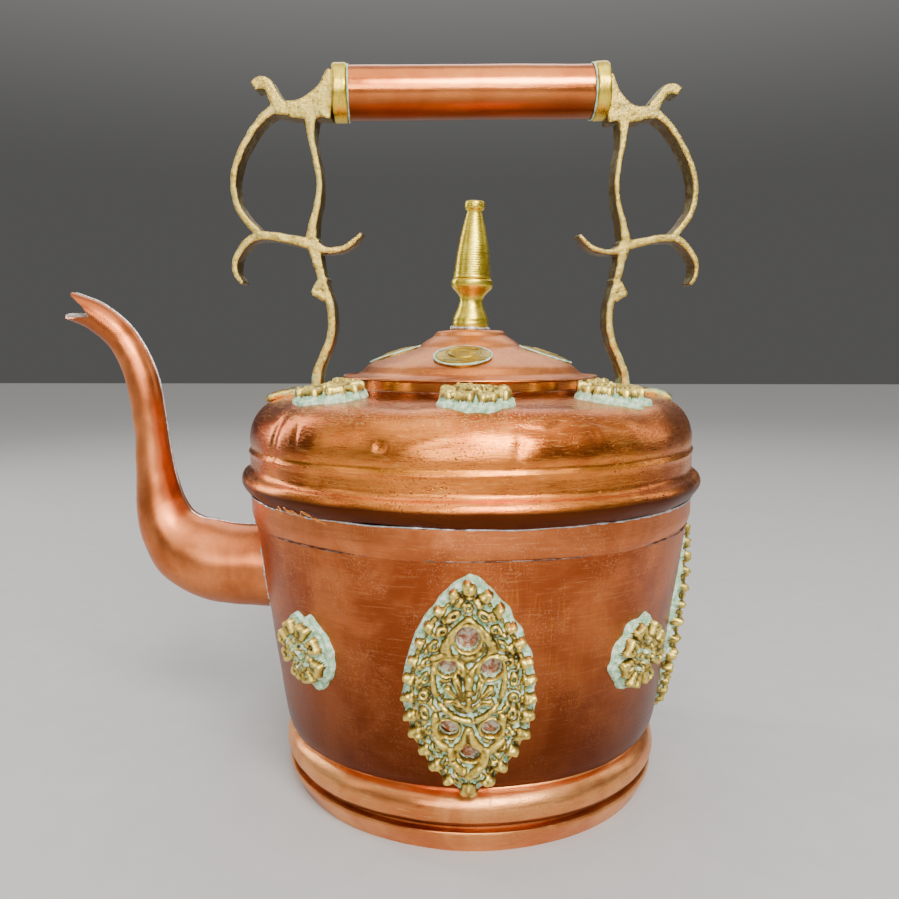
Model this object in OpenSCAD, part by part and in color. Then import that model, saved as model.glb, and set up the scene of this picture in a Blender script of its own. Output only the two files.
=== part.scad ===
/* [Body] */
// Thickness of the copper sheet
sheet = 1.5; // [1:0.1:2]
// Radius of the resting edge of the base ring
base_r = 91.6; // [88:0.1:93]
// Radius of the rolled edge of the base ring
base_roll_r = 97.2; // [96:0.1:99]
// Radius of the body wall at its foot
wall_foot_r = 94.8; // [93:0.1:95.4]
// Height of the wall's foot above the rest plane
wall_foot_z = 31; // [30.5:0.1:32]
// Radius of the body wall under the collar band
wall_top_r = 110.6; // [109:0.1:111.5]
// Height of the collar band's lower edge
collar_z = 136; // [130:0.5:138]
// Height of the collar band's upper edge
rim_z = 149.5; // [148:0.1:150]
// Height of the bottom plate's underside
bottom_z = 7; // [6:0.1:8.5]

/* [Shoulder] */
// Radius of the bead round the shoulder's foot
bead_r = 117; // [115.5:0.1:118]
// Radius of the shoulder's upright wall
shoulder_r = 112.2; // [111:0.1:113]
// Height of the shoulder's flat where it turns over
shoulder_z = 197; // [194:0.1:198]
// Radius of the mouth's neck ring
neck_r = 57; // [56:0.1:58]
// Height of the neck ring's upper edge
neck_z = 206.5; // [205:0.1:207]

/* [Lid] */
// Radius of the lid's flange
lid_flange_r = 66; // [63:0.1:67]
// Height of the lid's top plate
lid_top_z = 230.8; // [229:0.1:232]
// Gap between the lid's flange and the neck ring
seat_gap = 0.1; // [0.05:0.05:0.3]
// Radius of each brass disc on the lid
lid_disc_r = 13.7; // [13:0.1:15]
// Lean of the finial
finial_lean = 2; // [0:0.5:3]

/* [Spout] */
// Height of the spout's root on the wall
spout_z = 106; // [104:0.5:108]
// Diameter of the spout at its root
spout_root_d = 44; // [40:0.5:45]
// Radius of the hole through the wall behind the spout
spout_hole_r = 17; // [12:0.5:18]

/* [Handle] */
// Turn of the handle off the spout's line
handle_turn = 5; // [0:0.5:8]
// Height of the grip's axis
grip_z = 348.5; // [347:0.5:352]
// Rise of the grip towards the right, in degrees
grip_tilt = 1.3; // [0:0.1:2]
// Twist of the left bracket off the handle's line, in degrees
left_twist = -6; // [-8:0.5:0]
// Twist of the right bracket off the handle's line, in degrees
right_twist = 3; // [0:0.5:4]
// Outward lean of the left bracket, for each millimetre of height
left_lean = 0.04; // [0:0.005:0.05]
// Extra reach of the left bracket, for each millimetre beyond its post
left_reach = 0.045; // [0:0.005:0.05]
// Outside diameter of the grip tube
grip_d = 26; // [24:0.5:28]
// Length of the grip tube
grip_len = 123; // [118:1:126]
// Thickness of each bracket from front to back
bracket_t = 12; // [9:0.5:14]

/* [Ornament] */
// Width of each almond plaque
plaque_w = 57; // [50:1:60]
// Height of the widest line of each plaque
plaque_mid_z = 80; // [78:1:84]
// Diameter of each rosette
rosette_d = 36; // [32:1:38]
// Depth of the cast relief
relief = 5; // [4:0.5:6]

/* [Hidden] */
$fn = 64;
copper = "#9a5434";
copper_light = "#c98a5e";
brass = "#c9b07a";
old_brass = "#a38a4e";
solder_grey = "#b9bcb4";

// Wall outline from foot to top, as [radius, height]
wall_line = [
    [wall_foot_r, wall_foot_z], [wall_foot_r + 2.6, wall_foot_z + 8],
    [wall_foot_r + 7.2, wall_foot_z + 41], [wall_top_r, collar_z], [wall_top_r + 0.2, rim_z]
];
// Bead and shoulder outline from the solder line up to the mouth
bead_c = [bead_r - 7.4, 157];
turn_c = [shoulder_r - 19, shoulder_z - 20];
shoulder_line = concat(
    [for (a = [-65 : 10 : 65]) bead_c + 7.4 * [cos(a), sin(a)]],
    [[shoulder_r, 164.5], [shoulder_r, 171.5], [shoulder_r + 0.8, 173], [shoulder_r, 174.5]],
    [for (a = [0 : 9 : 90]) turn_c + [19 * cos(a), 20 * sin(a)]],
    [[neck_r + 14, shoulder_z + 2.4], [neck_r, shoulder_z + 4]]
);
base_line = concat(
    [[base_r, 0], [base_roll_r - 1, 9.5], [base_roll_r - 1.6, 11]],
    [for (a = [-70 : 14 : 70]) [base_roll_r - 8.6 + 8.6 * cos(a), 19.6 + 8.8 * sin(a)]],
    [[wall_foot_r - 0.2, wall_foot_z - 0.4]]
);
lid_line = [
    [lid_flange_r - 0.2, neck_z + seat_gap], [lid_flange_r, neck_z + 0.6],
    [lid_flange_r - 0.6, neck_z + 1.2], [58.7, 208.3], [56.4, 209.4], [54.5, 211.1],
    [52.5, 212.8], [49, 214.5], [45, 216], [38.5, 218.3], [32, 220.3], [27, 221.7],
    [24.8, 223.8], [22.8, 225.5], [20.4, 226.9], [19.2, 227.6],
    [17.8, 229.8], [16.4, lid_top_z - 0.2], [0, lid_top_z]
];
lid_sheet = 1.1;

// Spout stations: [x, z, outside diameter]
spout_root_x = -112;
spout_stations = [
    [-94, spout_z, spout_root_d], [spout_root_x, spout_z, spout_root_d],
    [-126, spout_z + 0.5, 44], [-140, spout_z + 3.5, 43], [-152, spout_z + 9.5, 39],
    [-160.5, spout_z + 19.5, 32], [-164.7, spout_z + 32, 25.5], [-166.5, spout_z + 46, 21.5],
    [-168, spout_z + 62, 19], [-169.3, spout_z + 79, 17.8], [-171.3, spout_z + 95, 17.4],
    [-175.5, spout_z + 108.5, 16.8], [-183, spout_z + 121.5, 16],
    [-193.5, spout_z + 130.8, 15.2], [-203, spout_z + 135.5, 14.4],
    [-216, spout_z + 139.5, 13.6]
];
beak_notch = [-198.5, spout_z + 132.5];
beak_top = [-206, spout_z + 145];
beak_tip = [-214, spout_z + 132];

collar_w = 7;
spigot_len = 9;
rod_r = 2.5;
grip_half = grip_len / 2;
horn_x = grip_half + collar_w;

// Catmull-Rom curve through a list of points, with steps points to each stretch
function spline(p, steps) = [
    for (i = [0 : len(p) - 2], s = [0 : steps - 1])
        let (t = s / steps, a = p[max(i - 1, 0)], b = p[i], c = p[i + 1],
             d = p[min(i + 2, len(p) - 1)])
        0.5 * (2 * b + (c - a) * t + (2 * a - 5 * b + 4 * c - d) * t * t
        + (3 * b - a - 3 * c + d) * t * t * t),
    p[len(p) - 1]
];
function xy(p) = [p[0], p[1]];
// Unit direction of travel at point i of a curve
function heading(p, i) =
    let (v = xy(p[min(i + 1, len(p) - 1)]) - xy(p[max(i - 1, 0)])) v / norm(v);
function left_of(v) = [-v[1], v[0]];
// Outline of a strap that follows points [x, z, width]
function strap(p, steps) =
    let (q = spline(p, steps))
    concat(
        [for (i = [0 : len(q) - 1]) xy(q[i]) + left_of(heading(q, i)) * q[i][2] / 2],
        [for (i = [len(q) - 1 : -1 : 0]) xy(q[i]) - left_of(heading(q, i)) * q[i][2] / 2]
    );
function inset(line, dr, dz) = [for (p = line) [max(p[0] - dr, 0), p[1] - dz]];
function reversed(line) = [for (i = [len(line) - 1 : -1 : 0]) line[i]];
function radius_at(line, z) = lookup(z, [for (p = line) [p[1], p[0]]]);

// Closed sheet of revolution between an outline and its inset copy
module spun(line, dr, dz) {
    rotate_extrude() polygon(concat(line, reversed(inset(line, dr, dz))));
}

// Solid bounded by an outline, used to seat fittings on the sheet
module core(line) {
    first = line[0];
    last = line[len(line) - 1];
    rotate_extrude($fn = 240) polygon(concat([[0, first[1]]], line, [[0, last[1]]]));
}

// Layer of given depth that lies on an outline
module layer(line, depth) {
    rotate_extrude() polygon(concat(line, reversed(inset(line, -depth, -depth / 20))));
}

module base_ring() {
    color(copper_light) spun(base_line, sheet, 0);
}

module bottom_plate() {
    color(copper) translate([0, 0, bottom_z])
        cylinder(r = radius_at(base_line, bottom_z) - sheet - 0.1, h = sheet);
}

module body_wall() {
    color(copper) difference() {
        spun(wall_line, sheet, 0);
        translate([-wall_foot_r + 6, 0, spout_z]) rotate([0, -90, 0])
            cylinder(r = spout_hole_r, h = 30);
    }
}

module collar_band() {
    color(copper) rotate_extrude() polygon([
        [wall_top_r, collar_z], [wall_top_r + 0.2, rim_z], [wall_top_r + 1.8, rim_z],
        [wall_top_r + 1.6, collar_z]
    ]);
}

module collar_solder() {
    r = radius_at(wall_line, collar_z - 1);
    color(solder_grey) rotate_extrude() polygon([
        [wall_top_r, collar_z], [wall_top_r + 1.3, collar_z], [r, collar_z - 1]
    ]);
}

module rim_solder() {
    edge = shoulder_line[0];
    color(solder_grey) rotate_extrude() polygon([
        [wall_top_r + 0.3, rim_z], [wall_top_r + 3, rim_z], [edge[0] + 1, edge[1]],
        [wall_top_r + 0.3, edge[1]]
    ]);
}

module shoulder() {
    last = shoulder_line[len(shoulder_line) - 1];
    inner = [
        for (i = [0 : len(shoulder_line) - 1])
            shoulder_line[i] + left_of(heading(shoulder_line, i)) * sheet
    ];
    color(copper_light) rotate_extrude() polygon(concat(
        shoulder_line,
        [[neck_r, last[1] - sheet]],
        [for (i = [len(inner) - 2 : -1 : 1]) inner[i]],
        [[shoulder_line[0][0] - sheet, shoulder_line[0][1]]]
    ));
}

module neck_ring() {
    color(copper_light) translate([0, 0, shoulder_z + 4 - 4 * sheet]) difference() {
        cylinder(r = neck_r - 0.05, h = neck_z - shoulder_z - 4 + 4 * sheet);
        translate([0, 0, -1]) cylinder(r = neck_r - sheet, h = neck_z);
    }
}

module neck_solder() {
    z = shoulder_z + 4;
    color(solder_grey) rotate_extrude()
        polygon([[neck_r, z], [neck_r + 1.2, z], [neck_r, z + 1]]);
}

// Swept skin through stations [x, z, diameter], with a passage when wall is above 0
module swept(path, wall, sides) {
    n = len(path);
    function ring(i, r) =
        let (h = heading(path, i), up = left_of(h))
        [for (k = [0 : sides - 1])
            let (a = 360 * k / sides)
            [path[i][0] + up[0] * r * cos(a), r * sin(a), path[i][1] + up[1] * r * cos(a)]];
    outer = [for (i = [0 : n - 1]) each ring(i, path[i][2] / 2)];
    inner = wall > 0 ? [for (i = [0 : n - 1]) each ring(i, path[i][2] / 2 - wall)] : [];
    m = n * sides;
    sheath = [for (i = [0 : n - 2], k = [0 : sides - 1])
        let (j = (k + 1) % sides)
        [i * sides + k, i * sides + j, (i + 1) * sides + j, (i + 1) * sides + k]];
    bore = [for (i = [0 : n - 2], k = [0 : sides - 1])
        let (j = (k + 1) % sides)
        [m + i * sides + j, m + i * sides + k, m + (i + 1) * sides + k, m + (i + 1) * sides + j]];
    first_rim = [for (k = [0 : sides - 1])
        let (j = (k + 1) % sides) [j, k, m + k, m + j]];
    last_rim = [for (k = [0 : sides - 1])
        let (j = (k + 1) % sides, e = (n - 1) * sides) [e + k, e + j, m + e + j, m + e + k]];
    first_cap = [[for (k = [sides - 1 : -1 : 0]) k]];
    last_cap = [[for (k = [0 : sides - 1]) m - sides + k]];
    polyhedron(
        points = concat(outer, inner),
        faces = wall > 0 ? concat(sheath, bore, first_rim, last_rim)
            : concat(sheath, first_cap, last_cap),
        convexity = 6
    );
}

module spout() {
    far = 240;
    color(copper_light) difference() {
        swept(spline(spout_stations, 2), sheet - 0.3, 20);
        core(wall_line);
        rotate([90, 0, 0]) translate([0, 0, -20]) linear_extrude(40) polygon([
            beak_notch, beak_top, [beak_top[0], far + spout_z], [-far, far + spout_z],
            [-far, 0], [beak_tip[0], 0], beak_tip
        ]);
    }
}

module spout_seam() {
    path = spline(spout_stations, 2);
    last = len(path) - 5;
    edge = [
        for (i = [4 : last])
            let (p = xy(path[i]) - left_of(heading(path, i)) * (path[i][2] / 2 + 0.5))
            [p[0], p[1], 0.9]
    ];
    color(solder_grey) swept(edge, 0, 6);
}

module spout_solder() {
    color(solder_grey) intersection() {
        layer(wall_line, 1.6);
        translate([-140, 0, spout_z]) rotate([0, 90, 0]) difference() {
            cylinder(r = spout_root_d / 2 + 2, h = 60);
            translate([0, 0, -1]) cylinder(r = spout_root_d / 2 + 0.3, h = 62);
        }
    }
}

// Half width of the almond plaque at height z
function almond(z) =
    let (reach = z > plaque_mid_z ? 52 : 47, u = abs(z - plaque_mid_z) / reach)
    plaque_w / 2 * pow(max(1 - u * u, 0), 0.75);

module medallion(azimuth) {
    low = plaque_mid_z - 47;
    high = plaque_mid_z + 52;
    steps = 22;
    rise = [for (i = [1 : steps - 1]) low + (high - low) * i / steps];
    outline = concat(
        [[0, low]], [for (z = rise) [almond(z), z]],
        [[0, high]], [for (z = reversed(rise)) [-almond(z), z]]
    );
    windows = [
        [0, 104, 5], [-8.5, 91, 3.8], [9.5, 91, 4.4], [-8.5, 63, 4], [9, 63, 4], [0, 53, 4]
    ];
    color(old_brass) rotate([0, 0, azimuth]) intersection() {
        layer(wall_line, relief);
        rotate([90, 0, 0]) translate([0, 0, 80]) linear_extrude(50) difference() {
            polygon(outline);
            for (w = windows) translate([w[0], w[1]]) circle(r = w[2], $fn = 24);
        }
    }
}

// Lobed casting with a domed middle, standing on z = 0
module rosette_blank(depth) {
    r = rosette_d / 2;
    notch = 0.14;
    dome_r = r * 0.62;
    dome_h = depth * 0.3;
    linear_extrude(depth) polygon([
        for (a = [0 : 5 : 355]) r * (1 - notch * pow(cos(4 * a), 6)) * [cos(a), sin(a)]
    ]);
    translate([0, 0, depth]) rotate_extrude() polygon([
        [0, 0], [dome_r, 0], [dome_r * 0.86, dome_h * 0.5], [dome_r * 0.5, dome_h], [0, dome_h]
    ]);
}

body_rosette_z = 86;

module body_rosette(azimuth) {
    sunk = 3;
    r = radius_at(wall_line, body_rosette_z);
    slope = atan((radius_at(wall_line, 100) - r) / (100 - body_rosette_z));
    color(old_brass) difference() {
        rotate([0, 0, azimuth]) translate([r, 0, body_rosette_z])
            rotate([0, 90 + slope, 0]) translate([0, 0, -sunk]) rosette_blank(relief + sunk - 1);
        core(wall_line);
    }
}

module shoulder_rosette(azimuth) {
    sunk = 4;
    tilt = 9;
    seat_r = 82;
    color(old_brass) difference() {
        rotate([0, 0, azimuth]) translate([seat_r, 0, shoulder_z + 2])
            rotate([0, tilt, 0]) translate([0, 0, -sunk]) rosette_blank(relief + sunk - 1);
        core(shoulder_line);
    }
}

// Straps of one bracket in its own plane: [distance from the axis, height, width]
bracket_straps = [
    [[105.4, 349, 4.4], [102.4, 350.8, 5.2], [98.8, 350.2, 4.8], [96, 347, 4.6], [92, 342, 6]],
    [[92, 341, 7], [98.5, 335, 5], [105.5, 326.5, 4.2], [111.5, 316, 4], [114.8, 305, 4],
     [114.2, 294, 4], [110.5, 286, 4.2], [104.5, 279.5, 5]],
    [[73.8, 332, 8], [76, 325, 4.6], [74.6, 314, 3.8], [73.6, 304, 3.6], [74.8, 294, 3.8],
     [77.5, 284, 5], [79.5, 274, 8]],
    [[76, 272.5, 8], [86, 275, 6], [97, 277.2, 5.4], [106, 277, 5.2], [112, 272.5, 4.4],
     [116.4, 265.5, 3.8], [116.6, 259, 3.2], [114, 254, 2.4]],
    [[79, 273, 7], [72, 270.2, 4], [64, 271.2, 3.6], [58.5, 274.6, 3.2], [54.8, 278.4, 2.2]],
    [[78.5, 274, 9], [76.5, 264, 6], [74.5, 254, 5.2], [71.8, 244, 5], [71.2, 234, 5],
     [73, 225, 5.2], [77, 216, 5.4], [80, 208, 6], [81, 194, 6.6]]
];

// A bracket's point [distance from the axis, height, width] as it stands on its own side
function on_side(p, side) =
    let (post_x = 75, knot_z = 274, sag = 0.6)
    side > 0 ? p
    : [p[0] + sag + left_reach * (p[0] - post_x) + left_lean * (p[1] - knot_z), p[1], p[2]];
// The same for a point of the horn's root, which stays put at the grip's end
function at_root(p, side) =
    let (share = min(1, (p[0] - horn_x + 2) / 12))
    [p[0] + share * (on_side([p[0], p[1], 0], side)[0] - p[0]), p[1]];

module bracket_plate(side) {
    horn = concat(
        [[horn_x - 2, grip_z - 12], [horn_x - 2, grip_z + 9]],
        spline([[horn_x + 1, grip_z + 4], [horn_x + 6, grip_z - 4], [horn_x + 14, grip_z - 7.5],
                [horn_x + 22, grip_z - 6]], 4),
        [[horn_x + 22, grip_z - 13], [horn_x + 9, grip_z - 15], [horn_x + 4, grip_z - 20]]
    );
    thorn = [[74, 244], [79.6, 247.6], [79.8, 250.4], [76, 257], [73, 257]];
    rotate([90, 0, 0]) linear_extrude(bracket_t, center = true) union() {
        polygon([for (p = horn) at_root(p, side)]);
        polygon(thorn);
        for (s = bracket_straps) polygon(strap([for (p = s) on_side(p, side)], 4));
    }
}

// Toes that lie on the shoulder, splayed to the front and the back
module bracket_toes() {
    splay = 24;
    intersection() {
        layer(shoulder_line, 4);
        for (side = [-1, 1]) translate([77, side * 2, 185]) rotate([0, 0, side * splay])
            linear_extrude(30) polygon([[0, -3.2], [24, -3.6], [30, -2], [30, 2], [24, 3.6], [0, 3.2]]);
    }
}

// Places a part along the grip's own axis
module on_grip() {
    rotate([0, 0, handle_turn]) translate([0, 0, grip_z]) rotate([0, -grip_tilt, 0]) children();
}

module bracket(side) {
    twist = side < 0 ? left_twist : right_twist;
    clear_w = 44;
    color(brass) difference() {
        rotate([0, 0, handle_turn + (side > 0 ? 0 : 180)])
            translate([horn_x, 0, 0]) rotate([0, 0, twist]) translate([-horn_x, 0, 0]) {
                bracket_plate(side);
                bracket_toes();
            }
        core(shoulder_line);
        on_grip() cube([2 * horn_x, clear_w, clear_w], center = true);
    }
}

module grip_collar(side) {
    color(brass) on_grip() rotate([0, 0, side > 0 ? 0 : 180])
        translate([grip_half, 0, 0]) rotate([0, 90, 0]) difference() {
            union() {
                cylinder(r = grip_d / 2 + 1.1, h = collar_w);
                translate([0, 0, -spigot_len]) cylinder(r = grip_d / 2 - 1.05, h = spigot_len);
            }
            translate([0, 0, -20]) cylinder(r = rod_r + 0.05, h = 40);
        }
}

module grip_tube() {
    color(copper) on_grip() translate([-grip_half, 0, 0])
        rotate([0, 90, 0]) difference() {
            cylinder(d = grip_d, h = grip_len);
            translate([0, 0, -1]) cylinder(r = grip_d / 2 - 1, h = grip_len + 2);
        }
}

module grip_rod() {
    length = grip_len + 2 * collar_w - 1;
    color(solder_grey) on_grip() rotate([0, 90, 0]) cylinder(r = rod_r, h = length, center = true);
}

module lid_shell() {
    stud_hole_r = 3.4;
    color(copper_light) difference() {
        spun(lid_line, 0.9, lid_sheet);
        translate([0, 0, neck_z - 10]) cylinder(r = 100, h = 10 + seat_gap);
        cylinder(r = stud_hole_r, h = lid_top_z + 5);
    }
}

module lid_skirt() {
    r = neck_r - sheet - 1.2;
    color(copper) translate([0, 0, neck_z - 9]) difference() {
        cylinder(r = r, h = 10);
        translate([0, 0, -1]) cylinder(r = r - 1.2, h = 12);
    }
}

module lid_disc(azimuth) {
    seat_r = 38.6;
    seat_z = 218;
    tilt = 18;
    profile = [
        [0, -4], [lid_disc_r, -4], [lid_disc_r, 0.3], [lid_disc_r - 1, 0.9],
        [8.8, 1.7], [8.4, 1.4], [8, 1.9], [5, 2.4], [0, 2.5]
    ];
    color(old_brass) difference() {
        rotate([0, 0, azimuth]) translate([seat_r, 0, seat_z]) rotate([0, tilt, 0])
            rotate_extrude() polygon(profile);
        core(lid_line);
    }
}

// Places a turned finial part on the lid's top plate
module on_lid() {
    translate([0, 0, lid_top_z]) rotate([0, finial_lean, 0]) children();
}

stud_r = 2.4;

module turned(line, colour, bore) {
    first = line[0];
    last = line[len(line) - 1];
    color(colour) on_lid() rotate_extrude() polygon(concat(
        line, [[bore, last[1]], [bore, first[1]]]
    ));
}

module finial_solder() {
    turned([[10.2, 0.4], [9.4, 1.1], [9, 2]], solder_grey, stud_r + 0.05);
}

module finial_baluster() {
    turned([
        [9, 2], [9.2, 3.6], [9, 5.6], [8.2, 8], [6.9, 11], [6, 13.6], [5.9, 15.6], [6.6, 17.6],
        [8.4, 19.6], [10.1, 21.4], [10.7, 22.8], [10.6, 25], [10.2, 25.6]
    ], brass, stud_r + 0.05);
}

module finial_cone() {
    bore_top = 40;
    color(brass) on_lid() difference() {
        rotate_extrude() polygon([
            [0, 25.7], [9.6, 25.7], [9.3, 26.8], [9, 33], [8.3, 39], [7, 46.4], [5.6, 52.6],
            [4.3, 58], [3.9, 58.9], [3.7, 59.9], [4.6, 60.6], [5.1, 61.4], [5.1, 64], [4.6, 64.8],
            [0, 65.2]
        ]);
        cylinder(r = stud_r + 0.05, h = bore_top);
    }
}

module finial_stud() {
    color(solder_grey) on_lid() translate([0, 0, -8]) cylinder(r = stud_r, h = 46);
}

module finial_nut() {
    color(brass) on_lid() translate([0, 0, -4.8]) difference() {
        cylinder(r = 5, h = 3.4, $fn = 6);
        translate([0, 0, -1]) cylinder(r = stud_r + 0.05, h = 6);
    }
}

base_ring();
bottom_plate();
body_wall();
collar_band();
collar_solder();
rim_solder();
shoulder();
neck_ring();
neck_solder();
spout();
spout_seam();
spout_solder();
medallion(0);  // medallion_front
medallion(90);  // medallion_right
medallion(180);  // medallion_back
body_rosette(-45);  // body_rosette_front_right
body_rosette(45);  // body_rosette_back_right
body_rosette(135);  // body_rosette_back_left
body_rosette(-135);  // body_rosette_front_left
shoulder_rosette(-90);  // shoulder_rosette_front
shoulder_rosette(-38);  // shoulder_rosette_front_right
shoulder_rosette(38);  // shoulder_rosette_back_right
shoulder_rosette(90);  // shoulder_rosette_back
shoulder_rosette(142);  // shoulder_rosette_back_left
shoulder_rosette(-142);  // shoulder_rosette_front_left
bracket(-1);  // bracket_left
bracket(1);  // bracket_right
grip_collar(-1);  // grip_collar_left
grip_collar(1);  // grip_collar_right
grip_tube();
grip_rod();
lid_shell();
lid_skirt();
lid_disc(-95);  // lid_disc_front
lid_disc(-5);  // lid_disc_right
lid_disc(85);  // lid_disc_back
lid_disc(175);  // lid_disc_left
finial_solder();
finial_baluster();
finial_cone();
finial_stud();
finial_nut();
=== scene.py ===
import math

import bmesh
import bpy
import numpy as np
from mathutils import Matrix, Vector


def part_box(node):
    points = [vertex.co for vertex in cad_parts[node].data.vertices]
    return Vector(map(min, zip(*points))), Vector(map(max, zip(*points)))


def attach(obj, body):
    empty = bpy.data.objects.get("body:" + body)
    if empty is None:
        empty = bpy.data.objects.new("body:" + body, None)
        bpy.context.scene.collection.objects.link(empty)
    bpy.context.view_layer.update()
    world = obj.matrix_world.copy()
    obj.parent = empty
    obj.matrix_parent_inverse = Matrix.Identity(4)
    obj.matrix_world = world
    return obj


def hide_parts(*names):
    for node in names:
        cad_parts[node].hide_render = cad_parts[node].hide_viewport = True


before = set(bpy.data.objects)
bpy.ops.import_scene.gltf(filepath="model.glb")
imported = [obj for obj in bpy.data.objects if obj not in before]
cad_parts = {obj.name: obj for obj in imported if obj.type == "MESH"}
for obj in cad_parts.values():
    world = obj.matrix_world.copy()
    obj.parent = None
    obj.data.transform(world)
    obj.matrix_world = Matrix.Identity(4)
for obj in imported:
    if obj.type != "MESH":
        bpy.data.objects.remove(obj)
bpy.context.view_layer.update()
print("kettle: frame loaded,", len(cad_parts), "nodes")


# lengths below are millimetres; addPiece turns them into metres
def span(node):
    low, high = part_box(node)
    return np.array(low) * 1000, np.array(high) * 1000


wallLow, wallHigh = span("body_wall")
bandLow, bandHigh = span("collar_band")
domeLow, domeHigh = span("shoulder")
baseHigh = span("base_ring")[1]
lidLow, lidHigh = span("lid_shell")
neckLow, neckHigh = span("neck_ring")
gripLow, gripHigh = span("grip_tube")
plaqueLow, plaqueHigh = span("medallion_front")

sheetThickness = 1.5
front = -90
shoulderCrease = 171.3


# ---- lines and fields ----


def curve(points, steps=8):
    # smooth line through every point
    p = np.array(points, float)
    p = np.vstack([2 * p[0] - p[1], p, 2 * p[-1] - p[-2]])
    t = np.linspace(0, 1, steps, endpoint=False)[:, None]
    runs = []
    for i in range(1, len(p) - 2):
        a, b, c, d = p[i - 1 : i + 3]
        runs.append(
            0.5 * (2 * b + (c - a) * t + (2 * a - 5 * b + 4 * c - d) * t**2 + (3 * b - a - 3 * c + d) * t**3)
        )
    return np.vstack(runs + [p[-2:-1]])


def rounded(points, radius):
    # the same outline with its inner corners eased
    p = [np.array(q, float) for q in points]
    out = [p[0]]
    for a, b, c in zip(p, p[1:], p[2:]):
        into, away = a - b, c - b
        reach = min(radius, np.linalg.norm(into) / 2.1, np.linalg.norm(away) / 2.1)
        start = b + into / np.linalg.norm(into) * reach
        end = b + away / np.linalg.norm(away) * reach
        for t in (0, 0.25, 0.5, 0.75, 1):
            out.append((1 - t) ** 2 * start + 2 * t * (1 - t) * b + t * t * end)
    return np.array(out + [p[-1]])


def evenly(line, step):
    # points an equal step apart along a line
    p = np.array(line, float)
    s = np.concatenate([[0], np.cumsum(np.linalg.norm(np.diff(p, axis=0), axis=1))])
    t = np.linspace(0, s[-1], max(int(round(s[-1] / step)), 2) + 1)
    return np.stack([np.interp(t, s, p[:, k]) for k in range(p.shape[1])], 1)


def arc(centre, radii, first, last, count=12):
    a = np.radians(np.linspace(first, last, count))
    return [[centre[0] + radii[0] * math.cos(t), centre[1] + radii[1] * math.sin(t)] for t in a]


def heading(line):
    d = np.gradient(np.array(line, float), axis=0)
    return d / np.linalg.norm(d, axis=1)[:, None]


def ease(low, high, value):
    t = np.clip((value - low) / (high - low), 0, 1)
    return t * t * (3 - 2 * t)


def waves(seed, size, height, count=18):
    # seeded rolling unevenness of about this size
    rng = np.random.default_rng(seed)
    ways = rng.normal(size=(count, 3))
    ways *= 2 * math.pi / size / np.linalg.norm(ways, axis=1)[:, None]
    shifts = rng.uniform(0, 2 * math.pi, count)

    def field(points, normals=None):
        return height * np.sin(points @ ways.T + shifts).sum(-1) / math.sqrt(count / 2)

    return field


def onLine(line, azimuth, z=None, radius=None):
    # point, sideways, upwards and outwards directions on a turned surface
    line = np.array(line, float)
    key = np.argmin(np.abs(line[:, 1] - z)) if radius is None else np.argmin(np.abs(line[:, 0] - radius))
    r, high = line[key]
    dr, dz = heading(line)[key]
    c, s = math.cos(math.radians(azimuth)), math.sin(math.radians(azimuth))
    point = np.array([r * c, r * s, high])
    return point, np.array([-s, c, 0]), np.array([dr * c, dr * s, dz]), np.array([dz * c, dz * s, -dr])


def dent(seat, width, height, depth, turn=0, rim=0.0):
    # a hollow pressed into the sheet; rim raises metal round it
    point, side, up, out = seat
    c, s = math.cos(math.radians(turn)), math.sin(math.radians(turn))

    def field(points, normals=None):
        d = points - point
        u, v = d @ side, d @ up
        a, b = (u * c + v * s) / width, (v * c - u * s) / height
        q = a * a + b * b
        near = np.exp(-((d @ out) ** 2) / (width + height) ** 2)
        return -depth * near * (1 - rim * q) * np.exp(-q)

    return field


# ---- pieces ----


def addPiece(name, points, faces, finish, body="kettle", slot=None, replaced=(), sharp=38, marks=None):
    points = np.asarray(points, float).reshape(-1, 3)
    used, where = np.unique(np.concatenate([np.ravel(f) for f in faces]), return_inverse=True)
    mesh = bpy.data.meshes.new(name)
    stops = np.cumsum([np.size(f) for f in faces])[:-1]
    mesh.from_pydata((points[used] / 1000).tolist(), [], sum([
        part.reshape(np.shape(f)).tolist() for part, f in zip(np.split(where, stops), faces)
    ], []))
    for mark, values in (marks or {}).items():
        mesh.attributes.new(mark, "FLOAT", "POINT").data.foreach_set("value", np.ravel(values)[used])
    work = bmesh.new()
    work.from_mesh(mesh)
    bmesh.ops.remove_doubles(work, verts=work.verts, dist=1e-6)
    work.to_mesh(mesh)
    work.free()
    return register(mesh, name, finish, body, replaced, sharp)


def register(mesh, name, finish, body, replaced, sharp=38):
    mesh.shade_smooth()
    mesh.set_sharp_from_angle(angle=math.radians(sharp))
    piece = bpy.data.objects.new(name, mesh)
    bpy.context.scene.collection.objects.link(piece)
    for material in [finish] if isinstance(finish, bpy.types.Material) else finish:
        mesh.materials.append(material)
    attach(piece, body)
    if replaced:
        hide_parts(*replaced)
    return piece


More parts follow.
